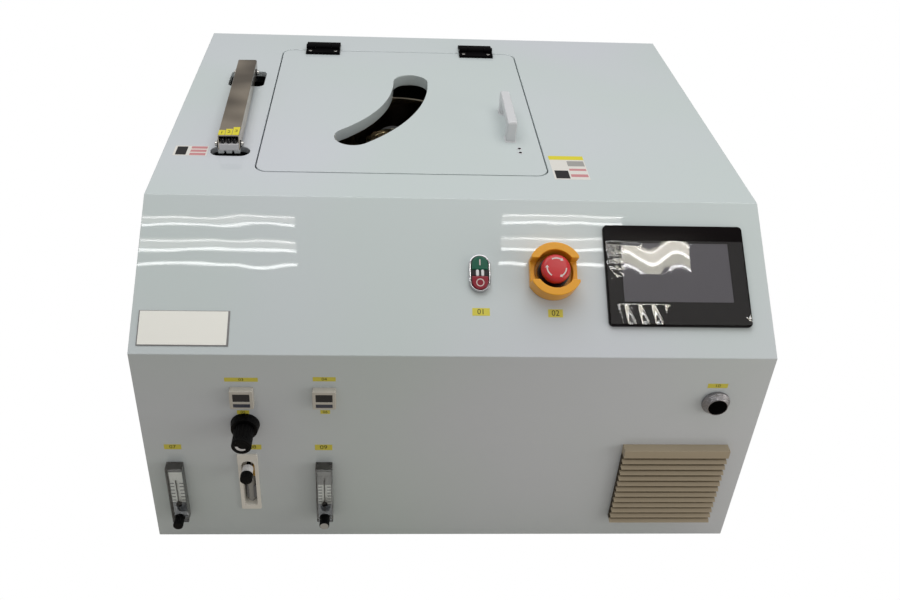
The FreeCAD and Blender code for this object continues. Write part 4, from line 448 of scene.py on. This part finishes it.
def figures(text, height, x, y, level):
    """The points and faces of plain numbers as a thin solid, centred on a place of a home frame.
    The font's figures stand 0.7 of its size high."""
    curve = bpy.data.curves.new("figures", "FONT")
    curve.body = text
    curve.size = height / 0.7
    curve.align_x = "CENTER"
    curve.align_y = "CENTER"
    curve.extrude = 0.03
    curve.resolution_u = 3
    draft = bpy.data.objects.new("figures", curve)
    scene.collection.objects.link(draft)
    mesh = bpy.data.meshes.new_from_object(draft.evaluated_get(bpy.context.evaluated_depsgraph_get()))
    points = np.array([corner.co for corner in mesh.vertices]) + (x, y, level)
    faces = [tuple(face.vertices) for face in mesh.polygons]
    bpy.data.objects.remove(draft)
    bpy.data.curves.remove(curve)
    bpy.data.meshes.remove(mesh)
    return points, faces


lean = radians(1.6)
ARM = home((-346, 184, top_level), (np.cos(lean), np.sin(lean), 0), (-np.sin(lean), np.cos(lean), 0))
front_end, rear_end = -279, 13

cover_metal = finish("brushed_stainless_cover", "#AEA69C", 0.22, Metallic=1.0)
# Its tone wanders at random between darker and lighter steel: painted reflection, standing for the uneven room
# that the cover mirrors.
toned(cover_metal, 85, (0.38, "#8C8378"), (0.62, "#C8BCAC"))
bumped(cover_metal, (70, 1, 1, 1.5), (0.5, 2, 0.3, 0.02, 50))
cover_half, cover_foot, cover_top, cover_wall, cover_fold = 16.5, 6.3, 30, 1.5, 3
fold_across, fold_centre = cover_half - cover_fold, cover_top - cover_fold
outside = np.concatenate([
    [(cover_half, cover_foot)], arc((fold_across, fold_centre), cover_fold, 0, 90),
    arc((-fold_across, fold_centre), cover_fold, 90, 180), [(-cover_half, cover_foot)]])
lining = np.concatenate([
    [(cover_wall - cover_half, cover_foot)], arc((-fold_across, fold_centre), cover_fold - cover_wall, 180, 90),
    arc((fold_across, fold_centre), cover_fold - cover_wall, 90, 0), [(cover_half - cover_wall, cover_foot)]])
piece("cover_channel", [
    lengthwise(np.concatenate([outside, lining]), front_end, rear_end - cover_wall),
    lengthwise(outside, rear_end - cover_wall, rear_end)], ARM, cover_metal, "arm", "arm_steel", "arm_cover")

# A socket 3.8 mm across its flats, as the radii of a hexagon
socket_angles = np.linspace(0, 2 * np.pi, 24, endpoint=False)
socket = 1.9 / np.cos((socket_angles + np.pi / 6) % (np.pi / 3) - np.pi / 6)
screw_head = ((4, 1.3), (4, 4.2), (3.6, 5.0), (2.6, 5.2), (socket, 5.2), (socket, 3.4))
screw_washer = ((5.9, 0), (5.9, 1.2), (5.2, 1.6))
for side, out in (("left", -1.0), ("right", 1.0)):
    for row, (y, rise) in enumerate(((-274.2, 13), (-8, 15))):
        origin, axes = at(ARM, out * cover_half, y, rise)
        spot = home(origin, out * axes[1], axes[2])
        piece("cover_screw_%s_%d" % (side, row), [turned(screw_head, steps=24)], spot,
              steel, "arm", "arm_steel")
        piece("cover_washer_%s_%d" % (side, row), [turned(screw_washer, steps=24)], spot,
              dark_steel, "arm", "arm_steel")

tube_start, tube_level, tube_bend, tube_radius = -11.2, 22, 5, 3.0
elbow_y = front_end + tube_bend
tube_path = (*np.linspace((tube_start, tube_level), (elbow_y, tube_level), 12),
             *arc((elbow_y, tube_level - tube_bend), tube_bend, 90, 180)[1:])
piece("tubes", [carried([(x, *point) for point in tube_path], tube_radius) for x in (-9, 0, 9)], ARM,
      finish("smoked_tube", "#101014", 0.18), "arm", "tube_dark", "dispense_tubes")

block_edge = ((0.5, 6), (0, 6.5), (0, 16.3), (0.7, 17))
tip_edge = ((0.6, 1), (0.1, 1.5), (0, 6))
piece("nozzle_body", [pressed(29.4, 28, 1, block_edge, 0, front_end + 9.5)], ARM,
      finish("natural_nozzle_plastic", "#C8C7C9", 0.35), "arm", "nozzle_white", "nozzle_block")
piece("nozzle_tips", [pressed(9, 9, 0.8, tip_edge, x, front_end) for x in (-12, 0, 12)], ARM,
      finish("grey_nozzle_tips", "#B3B8B9", 0.4), "arm", "nozzle_white")

sticker = ((0, 0), (0, 0.2))
figure_level = 0.22
label_yellow = finish("yellow_label", "#E2D62F", 0.4)
ink = finish("label_ink", "#2E2B0C", 0.5)
COVER_TOP = at(ARM, 0, 0, cover_top)
for number, x, length in (("1", -10.6, 16), ("2", 0, 20), ("3", 10.6, 26)):
    y = front_end + 1 + length / 2
    piece("tube_label_" + number, [pressed(9.8, length, 0.4, sticker, x, y)], COVER_TOP,
          label_yellow, "arm", "arm_steel")
    piece("tube_figure_" + number, [figures(number, 8, x, y, figure_level)], COVER_TOP, ink, "arm", "arm_steel")

aluminium = finish("machined_aluminium", "#A9AAAC", 0.35, Metallic=1.0)
painted(aluminium, "arm_beam", "arm_lift_cylinder", "motor_plate", "spin_motor", "valve_block")
painted(steel, "arm_swing_shaft", "arm_lift_tube", "spindle_shaft", "estop_plunger")

# Process bowl and chuck
# The bowl is spun from polished stainless steel, the chuck turned from aluminium. Both lie under the lid,
# and their slow waves break up what they mirror.
bowl_metal = finish("polished_stainless_bowl", "#A89E8F", 0.16, Metallic=1.0)
bumped(bowl_metal, (45, 0, 1, 3))
painted(bowl_metal, "process_bowl")
chuck_metal = finish("turned_aluminium_chuck", "#F2E9D0", 0.2, Metallic=1.0)
bumped(chuck_metal, (28, 0, 1, 16))
painted(chuck_metal, "wafer_chuck")

# Touch panel
# A glossy black bezel with the display behind a flush window, still under its protective film,
# which is creased and bubbled near its edges and throws wavering reflections.
front_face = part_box("front_panel")[0][1] / MM
fold_level = 377
slope_run, slope_rise = 180.0, 140
SLOPE = home((0, front_face, fold_level), (1.0, 0, 0), (0, slope_run, slope_rise))
FRONT = home((0, front_face, 0), (1.0, 0, 0), (0, 0, 1.0))

PANEL = at(SLOPE, 309, 116.2)
bezel_width, bezel_height = 200.4, 146.5
window_width, window_height, window_y, window_gap = 154.1, 85.9, 4, 0.2
bezel_face, window_floor = 6, 5.2
bezel_rings = [loop(bezel_width - 2 * inset, bezel_height - 2 * inset, 6 - inset, level)
               for inset, level in ((0, 0), (0, 4.6), (0.4, 5.6), (1.2, bezel_face))]
window_rings = [loop(window_width, window_height, 0.6, level, 0, window_y)
                for level in (bezel_face, window_floor)]
piece("panel_bezel", [stacked(bezel_rings + window_rings)], PANEL,
      finish("glossy_black_bezel", "#120F10", 0.15, Specular_IOR_Level=0.05),
      "root", "bezel_black", "hmi_bezel")
piece("display", [pressed(window_width - 2 * window_gap, window_height - 2 * window_gap, 0.5,
                          ((0, window_floor), (0, 5.6)), 0, window_y)], PANEL,
      finish("display_glass", "#5B595F", 0.2, Specular_IOR_Level=0.05), "root", "display_glass", "hmi_screen")


def inside(place, low, high, edge):
    """One inside a range and nothing outside it: (place - low) / edge times (high - place) / edge, each held
    between 0 and 1."""
    return np.clip((place - low) / edge, 0, 1) * np.clip((high - place) / edge, 0, 1)


def creases(x, y, pitch, way):
    """Sharp folds: (1 - |sin(pi * along / pitch + sway)|) squared, where along is measured in a direction in
    degrees, and the sway is 0.9 * sin(across / (0.7 * pitch))."""
    turn = radians(way)
    along, across = x * np.cos(turn) + y * np.sin(turn), y * np.cos(turn) - x * np.sin(turn)
    return (1 - np.abs(np.sin(np.pi * along / pitch + 0.9 * np.sin(across / (0.7 * pitch))))) ** 2


def film_surface(x, y):
    """The film's level: 6.15 mm, plus ripples of 0.0064 * (50 - y) * (1.25 + cos((x + 37) / 12)) over its
    upper left; two crossed sets of creases, 0.12 mm high, at its left edge; a rise of 0.078 +- 0.012 mm for
    each millimetre below y = -42 at its lower left; a rise of 0.0035 mm for each square millimetre beyond
    (79, -38) at its lower right corner, with creases 0.10 mm high; and a bell-shaped ridge 0.45 mm high, 1.4 mm
    wide, that slopes by 1 in 18 along its upper left edge. Each stays inside its own range."""
    ripples = (0.0064 * inside(x, -99, 34, 14) * inside(y, -10, 60, 9)
               * (50 - y) * (1.25 + np.cos((x + 37) / 12)))
    left_creases = (0.12 * inside(x, -97, -74, 4) * inside(y, -14, 46, 4)
                    * (creases(x, y, 8, 25) + creases(x, y, 11, 110)))
    left_rise = inside(x, -92, -8, 10) * np.clip(-42 - y, 0, None) * (0.078 + 0.012 * np.sin(x / 3 + y / 30))
    corner_rise = 0.0035 * np.clip(x - 79, 0, None) * np.clip(-38 - y, 0, None)
    corner_creases = 0.10 * inside(x, 80, 97, 3) * inside(y, -70, -40, 4) * creases(x, y, 7, 60)
    ridge = 0.45 * inside(x, -97, -46, 8) * np.exp(-((y - 48 + (x + 97) / 18) / 1.4) ** 2)
    return 6.15 + ripples + left_creases + left_rise + corner_rise + corner_creases + ridge


film_half, film_foot, film_head, film_thickness = 98, -71, 50, 0.06
film_columns, film_rows = 164, 102
x, y = np.meshgrid(np.linspace(-film_half, film_half, film_columns),
                   np.linspace(film_foot, film_head, film_rows))
film_level = film_surface(x, y)
under = film_rows * film_columns
grid = np.arange(under).reshape(film_rows, film_columns)
rim = np.concatenate([grid[0, :-1], grid[:-1, -1], grid[-1, :0:-1], grid[:0:-1, 0]])
film_points = np.concatenate([np.column_stack([x.ravel(), y.ravel(), film_level.ravel() + lift])
                              for lift in (0, -film_thickness)])
cells = np.stack([grid[:-1, :-1], grid[:-1, 1:], grid[1:, 1:], grid[1:, :-1]], axis=-1).reshape(-1, 4)
edges = np.stack([rim, rim + under, np.roll(rim, -1) + under, np.roll(rim, -1)], axis=-1)
film_faces = [tuple(face) for face in np.concatenate([cells, cells[:, ::-1] + under, edges])]
piece("panel_film", [(film_points, film_faces)], PANEL,
      finish("protective_film", "#FFFFFF", 0.03, Metallic=1.0, Alpha=0.04), "root", "display_glass")

# Power button
# A chromed stadium bezel holds a green and a red push button, with two white lamp lenses between them.
POWER = at(SLOPE, 32, 116)
chrome = finish("chromed_metal", "#C9C8CB", 0.08, Metallic=1.0)
surround_edge = ((0, 0), (0, 4.6), (0.4, 5.6), (1.1, 6), (2.0, 6), (2.6, 5.6), (3.0, 5), (3.1, 1))
piece("power_surround", [pressed(30, 54, 15, surround_edge, steps=12)], POWER,
      chrome, "root", "power_chrome", "power_bezel")
moulding = finish("black_moulding", "#151316", 0.3)
piece("power_band", [pressed(23.4, 8.6, 1, ((0, 1), (0, 5.8), (0.5, 6.3)))], POWER,
      moulding, "root", "power_chrome")
lens = finish("white_lens", "#E4E4E6", 0.15)
piece("power_lenses", [pressed(4.2, 9.6, 2.1, ((0, 5.5), (0, 6.6), (0.8, 7.3)), x) for x in (-3.6, 3.6)], POWER,
      lens, "root", "power_chrome")
cap_edge = ((0, 4.2), (0, 6.6), (0.5, 7.2), (1.4, 7.5))
for colour, code, y, corner in (("green", "#0E5B45", 14.3, (11.2, 11.2, 0.8, 0.8)),
                                ("red", "#8A1D2E", -14.3, (0.8, 0.8, 11.2, 11.2))):
    button = colour + "_button"
    piece(button + "_cap", [pressed(22.4, 19.2, corner, cap_edge, 0, y, 10)], POWER,
          finish(button + "_plastic", code, 0.22), button, "button_" + colour, button)
mark = finish("printed_mark", "#D9CFCB", 0.4)
piece("green_mark", [pressed(1.7, 8.5, 0.3, ((0, 7.5), (0, 7.6)), 0, 15)], POWER,
      mark, "green_button", "button_green")
ring = ((4.4, 7.5), (5.6, 7.5), (5.6, 7.6), (4.4, 7.6), (4.4, 7.5))
piece("red_mark", [turned(ring, 0, -14, closed=False)], POWER, mark, "red_button", "button_red")

# Emergency stop
# A moulded yellow guard with side notches stands around a red twist-release head with three arrows.
STOP = at(SLOPE, 134, 117)
dressed("stop_guard", finish("yellow_guard_plastic", "#EBA526", 0.35), "estop_guard", 1.2)
painted(moulding, "estop_base")
head = ((7, 19), (15, 19), (18.6, 20.6), (20, 23), (20, 29), (19.4, 31), (18, 32.6), (15.6, 33.7), (13, 34),
        (0, 34))
piece("stop_head_cap", [turned(head, steps=64)], STOP, finish("red_head_plastic", "#C92E33", 0.25),
      "stop_head", "stop_red", "estop_head")
arrows = []
for end in (45, -75, 165):
    outer_side = arc((0, 0), 14.2, end + 72, end + 14, 10)
    inner_side = arc((0, 0), 12.4, end + 14, end + 72, 10)
    barb_out, tip, barb_in = (arc((0, 0), radius, angle, angle, 0) for radius, angle in
                              ((16.0, end + 16), (13.6, end), (10.6, end + 16)))
    outline = np.concatenate([outer_side, barb_out, tip, barb_in, inner_side])
    arrows.append(stacked([np.column_stack([outline, np.full(len(outline), level)]) for level in (33.6, 34.1)]))
piece("stop_arrows", arrows, STOP, mark, "stop_head", "stop_red")

# Pressure sensors
# Ivory moulded faces, each with a dark display window over a strip of keys.
dressed("sensor_faces", finish("ivory_moulding", "#C9C5BC", 0.35), "pressure_sensors", 0.25)
dark_window = finish("dark_window", "#17151A", 0.08)
key_strip = finish("blue_grey_keys", "#3A3D4D", 0.3)
face_width, face_level = 32.4, 303.4
window_edge = ((0, 8.9), (0, 9.7))
keys_edge = ((0, 9.4), (0, 9.8), (0.4, 10))
for side, x in (("left", -293.8), ("right", -180.7)):
    FACE = at(FRONT, x, face_level)
    piece(side + "_sensor_window", [pressed(
        0.715 * face_width, 0.415 * face_width, 0.4, window_edge, 0, 0.14 * face_width)], FACE,
        dark_window, "root", "ivory_plastic")
    piece(side + "_sensor_keys", [pressed(
        0.71 * face_width, 0.19 * face_width, 0.4, keys_edge, 0, -0.3 * face_width)], FACE,
        key_strip, "root", "ivory_plastic")


# Pressure regulator
# Matte black ring nut and a long ribbed knob. A pale crescent on its dished end is a painted highlight.
def ribbed(radius, depth, count, steps=144):
    """Radii of a grip: the radius less depth * sqrt(cos(count * angle)) where that cosine is positive."""
    angles = np.linspace(0, 2 * np.pi, steps, endpoint=False)
    return radius - depth * np.maximum(np.cos(count * angles), 0) ** 0.5


matte = finish("matte_black_plastic", "#040405", 0.5, Specular_IOR_Level=0.12)
REGULATOR = at(FRONT, -293, 249.5)
painted(matte, "regulator_body")
grip = ribbed(14, 0.7, 18)
piece("regulator_grip", [turned((
    (6, 12.3), (13.2, 12.3), (grip, 12.8), (grip, 38), (14, 38.6), (14, 42.6), (13.2, 43.7), (12.2, 44),
    (10.4, 44), (9.6, 43.4), (9.2, 42.2), (0, 42.2)), steps=144)], REGULATOR,
    matte, "regulator_knob", "black_plastic", "regulator_knob")
# Painted highlight: a pale crescent in the white lens finish, laid on the knob's dished end.
crescent = np.concatenate([arc((0, 0), 8.8, 185, 310, 16), arc((1.4, 1.8), 7.2, 295, 200, 16)])
piece("regulator_painted_highlight", [stacked([
    np.column_stack([crescent, np.full(len(crescent), level)]) for level in (42.2, 42.6)])], REGULATOR,
    lens, "regulator_knob", "black_plastic")

# Centre flow unit
# An ivory panel frame around a grey pocket: a white collar behind the needle valve's black knob, a brass
# strip beside it, and a tube in a grey cup below.
flow_x = -294.3
UNIT = at(FRONT, flow_x, 132.5)
VALVE = at(FRONT, flow_x, 164)
rim_width, rim_height = 29.5, 115.7
well_width, well_height, well_y, well_wall = 18.7, 93.4, -2, 1
well_corner = np.array((9.3, 9.3, 2.8, 2.8))
pocket_floor = -16.8
well_rings = [loop(well_width + 2 * reach, well_height + 2 * reach, well_corner, level, 0, well_y)
              for reach, level in ((0, 2.4), (0, pocket_floor), (well_wall, pocket_floor), (well_wall, 0))]
# The frame's ivory is painted lighter than the sensor faces' ivory: painted light, for the light the frame
# catches.
piece("flow_frame", [stacked([
    loop(rim_width, rim_height, 2, 0), loop(rim_width, rim_height, 2, 2.2),
    loop(rim_width - 1.2, rim_height - 1.2, 1.6, 3),
    loop(well_width + 0.6, well_height + 0.6, (9.6, 9.6, 3, 3), 3, 0, well_y),
    *well_rings, loop(rim_width, rim_height, 2, 0)], closed=False)], UNIT,
    finish("ivory_moulding_painted_light", "#EFECE4", 0.35), "root", "ivory_plastic", "flow_bezel")
piece("flow_pocket", [pressed(well_width - 0.1, well_height - 0.1, well_corner,
                              ((0, pocket_floor), (0, pocket_floor + 0.4)), 0, well_y)], UNIT,
      finish("grey_pocket", "#D9D8D4", 0.4), "root", "ivory_plastic")
collar = ((3, 3.2), (7.4, 3.2), (8, 3.8), (8, 15.4), (7.4, 16))
piece("flow_collar", [turned(collar)], VALVE, lens, "centre_flow_knob", "black_plastic")
brass = finish("brass", "#B08D4A", 0.3, Metallic=1.0)
piece("flow_brass_strip", [pressed(3.2, 34, 0.4, ((0, -16), (0, -1.4), (0.3, -1)), 7.4, 27)], UNIT,
      brass, "root", "ivory_plastic")
piece("flow_valve_foot", [pressed(6, 11, 0.6, ((0, -16), (0, -3), (0.5, -2.4)), 1.5, 5)], UNIT,
      lens, "root", "ivory_plastic")
cup_grey = finish("grey_cup", "#77787C", 0.25)
piece("flow_cup", [pressed(15.5, 26, 2, ((0, -16.4), (0, -7), (1, -6)), 1, -30)], UNIT,
      cup_grey, "root", "ivory_plastic")
grip = ribbed(9, 0.45, 16)
piece("centre_knob_grip", [turned((
    (3, -15), (3, 15.8), (8.4, 15.8), (grip, 16.4), (grip, 25), (8.6, 26.4), (7.8, 27), (0, 27)), steps=144)],
    VALVE, matte, "centre_flow_knob", "black_plastic", "centre_flow_knob")
painted(finish("clear_tube_cup", "#A9A8A5", 0.12), "flow_tube")

# Rotameters
# Clear acrylic blocks over a dark back plate with a field, a ticked scale and a foot. A float stands at the
# end of the centre rod, above a black needle valve knob.
acrylic = finish("clear_acrylic", "#F2F4F3", 0.02, IOR=1.49, Transmission_Weight=1.0)
scale_white = finish("white_scale", "#E6E4DC", 0.45)
back_grey = finish("grey_back_plate", "#8E8B87", 0.45)
back_dark = finish("dark_back_plate", "#4A4743", 0.4)
meter_width, meter_height, meter_level, knob_level = 24.5, 114, 116, 72
acrylic_edge = ((0, 0.5), (0, 14), (0.3, 14.7), (1, 15))
side_edge = ((0, 0.5), (0, 13.5))
float_body = ((3.9, 0), (4.1, 0.4), (4.1, 4.6), (2.2, 7.6), (2.0, 8))
grip = ribbed(7.4, 0.37, 16)
knob = ((2, 12), (2, 15.3), (6.9, 15.3), (grip, 15.8), (grip, 31), (7.1, 32.3), (6.4, 33), (0, 33))
for side, x, field_high, field_paint, scale_high, scale_low in (("left", -399.5, 43, scale_white, 25, -20),
                                                                ("right", -183.8, 44, back_grey, 17, -24)):
    METER = at(FRONT, x, meter_level)
    KNOB = at(FRONT, x, knob_level)
    stands_for = ("rotameter_bodies",) if side == "left" else ()
    piece(side + "_meter_block", [pressed(meter_width, meter_height, 1.5, acrylic_edge)], METER,
          acrylic, "root", "clear_acrylic", *stands_for)
    piece(side + "_meter_back", [pressed(meter_width, meter_height, 1, ((0, 0), (0, 0.1)))], METER,
          back_dark, "root", "clear_acrylic")
    for part, plate_paint, high, low in (("field", field_paint, field_high, scale_high),
                                         ("scale", scale_white, scale_high, scale_low),
                                         ("foot", cup_grey, scale_low, -56)):
        piece("%s_meter_%s" % (side, part), [pressed(
            19.5, high - low, 0.3, ((0, 0.1), (0, 0.3)), 0, (high + low) / 2)], METER,
            plate_paint, "root", "clear_acrylic")
    piece(side + "_meter_ticks", [
        pressed(5.5, 1.6, 0.1, ((0, 0.3), (0, 0.4)), across, rise)
        for rise in np.linspace(scale_low + 4, scale_high - 5, 6) for across in (-6.6, 6.6)], METER,
        moulding, "root", "clear_acrylic")
    piece(side + "_meter_edges", [
        pressed(0.3, 110, 0.1, side_edge, 11.8), pressed(0.3, 110, 0.1, side_edge, -11.8),
        pressed(23, 0.3, 0.1, side_edge, 0, 56), pressed(1.6, 66, 0.5, ((0, 5), (0, 6.6)), 0, -4)], METER,
        back_dark, "root", "clear_acrylic")
    piece(side + "_knob_grip", [turned(knob, steps=144)], KNOB,
          matte, side + "_flow_knob", "black_plastic", side + "_flow_knob")
    origin, axes = at(METER, 0, -23.7, 7.5)
    piece(side + "_float_body", [turned(float_body, steps=32)], (origin, axes[[0, 2, 1]]),
          matte, side + "_float", "black_plastic", side + "_float")
piece("right_knob_end", [turned(((6.3, 33), (6.1, 33.15), (0, 33.15)), steps=32)], KNOB,
      finish("pale_knob_end", "#B9B7B2", 0.35), "right_flow_knob", "black_plastic")

# Buzzer
# A chromed ring, knurled at its foot, around a black sounder disc.
BUZZER = at(FRONT, 370, 296.5)
dark_chrome = finish("dark_chromed_ring", "#9C9A9D", 0.1, Metallic=1.0)
bumped(dark_chrome, (1.6, 2, 1, 0.9))
knurl = 19.6 - 0.35 * np.cos(45 * np.linspace(0, 2 * np.pi, 180, endpoint=False))
piece("buzzer_ring", [turned((
    (19.4, 0), (knurl, 0.4), (knurl, 4), (18.6, 4.8), (15.2, 10.8), (14.7, 11.7), (14.1, 12), (13.5, 11.9),
    (13.3, 11), (0, 11)), steps=180)], BUZZER, dark_chrome, "root", "power_chrome", "buzzer")
piece("buzzer_disc", [turned(((13.2, 10.9), (13.2, 11.3), (12.6, 11.6), (0, 11.6)))], BUZZER,
      finish("black_sounder_disc", "#010101", 0.6, Specular_IOR_Level=0.02), "root", "power_chrome")


# Vent grille and fan
# A khaki moulded hood whose sloping louvres shed drips, in front of a black fan.
def drawn(profile, reach):
    """Pairs of rise and level, drawn out to both sides of a home frame by the same reach."""
    return stacked([np.array([(end, rise, level) for rise, level in profile]) for end in (-reach, reach)])


khaki = finish("khaki_moulding", "#ADA089", 0.45)
GRILLE = at(FRONT, 329.5, 134)
hood_half, hood_foot, louvre_pitch, louvre_count = 77.5, 63.2, 11.72, 12
louvres = [drawn(((rise, 11.8), (rise, 14), (rise + 4.1, 10.2), (rise + 4.1, 7.5), (rise, 7.5)), hood_half)
           for rise in -hood_half + louvre_pitch * np.arange(louvre_count)]
hood = drawn(((hood_foot, 0), (hood_foot, 14), (hood_half - 0.6, 14), (hood_half, 13.4), (hood_half, 0)),
             hood_half)
spigot_width, duct_width = 124, 118
spigot = stacked([loop(width, width, 0.5, level) for width, level in
                  ((spigot_width, -12), (spigot_width, 0.5), (duct_width, 0.5), (duct_width, -12),
                   (spigot_width, -12))], closed=False)
piece("grille_hood", [*louvres, hood, spigot], GRILLE, khaki, "root", "grille_beige", "vent_grille")
# A dark plate behind the louvres is painted shade: it stands for the shadowed gaps between them.
piece("grille_back", [drawn(((-hood_half, 0), (-hood_half, 7.6), (hood_foot, 7.6), (hood_foot, 0)),
                            hood_half - 0.2)], GRILLE,
      finish("shaded_grille_back", "#453C2F", 0.6, Specular_IOR_Level=0.2), "root", "grille_beige")
painted(matte, "fan_frame", "fan_rotor")

# Labels
# Yellow labels with plain numbers beside the controls, a bare nameplate on the slope, and blank
# generic labels on the top sheet.
dull_yellow = finish("dull_yellow_label", "#D9CE4E", 0.45)
for number, (place, left, right, low, high) in enumerate((
        (SLOPE, 20.7, 45, 56.7, 67.5), (SLOPE, 125.6, 146.1, 55.4, 66.7), (FRONT, -316, -270.5, 329.5, 336.6),
        (FRONT, -196, -164.8, 331, 338.5), (FRONT, -303, -286, 269, 276), (FRONT, -187, -173.5, 270, 277),
        (FRONT, -411.5, -387, 199, 208.6), (FRONT, -297, -273, 199, 208.6), (FRONT, -196.4, -171.4, 198, 209),
        (FRONT, 353, 381.5, 323, 331)), 1):
    name = "label_%02d" % number
    x, y = (left + right) / 2, (low + high) / 2
    piece(name, [pressed(right - left, high - low, 0.5, sticker, x, y)], place,
          dull_yellow, "root", "cabinet_sheet")
    piece(name + "_figure", [figures("%02d" % number, 0.7 * (high - low), x, y, figure_level)], place,
          ink, "root", "cabinet_sheet")

# A grey rim under the cream face; the face sits off centre, so that the rim shows wider at its right and bottom.
piece("nameplate", [pressed(122, 48.5, 0.5, ((0, 0), (0, 0.8), (0.4, 1.0)), -369, 35.7)], SLOPE,
      finish("nameplate_rim", "#8B8A8B", 0.3, Metallic=0.6), "root", "cabinet_sheet")
piece("nameplate_face", [pressed(118, 46, 0.3, ((0, 1.0), (0, 1.1)), -369.6, 36)], SLOPE,
      finish("bare_nameplate", "#FBFBF4", 0.35), "root", "cabinet_sheet")

printed = ((0, 0.2), (0, 0.3))
white_label = finish("white_label", "#E4E2DC", 0.4)
pink_field = finish("pink_label_field", "#CE8C90", 0.45)
grey_field = finish("grey_label_field", "#A3A29F", 0.45)
for name, label_paint, edge, corner, *fields in (
        ("right_label", white_label, sticker, 1, (54, 73, 180, -123.5)),
        ("right_label_band", label_yellow, printed, 0.5, (54, 12, 180, -93)),
        ("right_label_field", grey_field, printed, 0.3, (26, 16, 192.5, -111)),
        ("right_label_block", moulding, printed, 0.3, (21, 24, 166.5, -145)),
        ("right_label_fields", pink_field, printed, 0.3, (26, 6, 192.5, -130), (26, 8, 192.5, -148)),
        ("left_label", white_label, sticker, 0.5, (51, 31, -397.5, -90.5)),
        ("left_label_fields", pink_field, printed, 0.3, *((24, 7, -386, y) for y in (-80, -90.5, -101))),
        ("left_label_block", moulding, printed, 0.3, (16, 26, -411.5, -90.5))):
    piece(name, [pressed(width, height, corner, edge, x, y) for width, height, x, y in fields], TOP,
          label_paint, "root", "cabinet_sheet")

# Rear fittings, feet and internals
# Brass couplings and pale pipes at the rear, rubber feet, and what stands on the base plate.
painted(brass, "rear_fittings")
painted(finish("grey_pipe", "#9B9FA3", 0.4), "exhaust_duct", "drain_pipe")
painted(finish("black_rubber", "#1B1B1B", 0.7), "levelling_feet")
painted(finish("gasket_foam", "#3A3B3D", 0.8), "lid_gasket")
painted(matte, "interlock_magnet", "interlock_sensor")
painted(finish("grey_box_paint", "#A9ABAD", 0.4), "control_box")
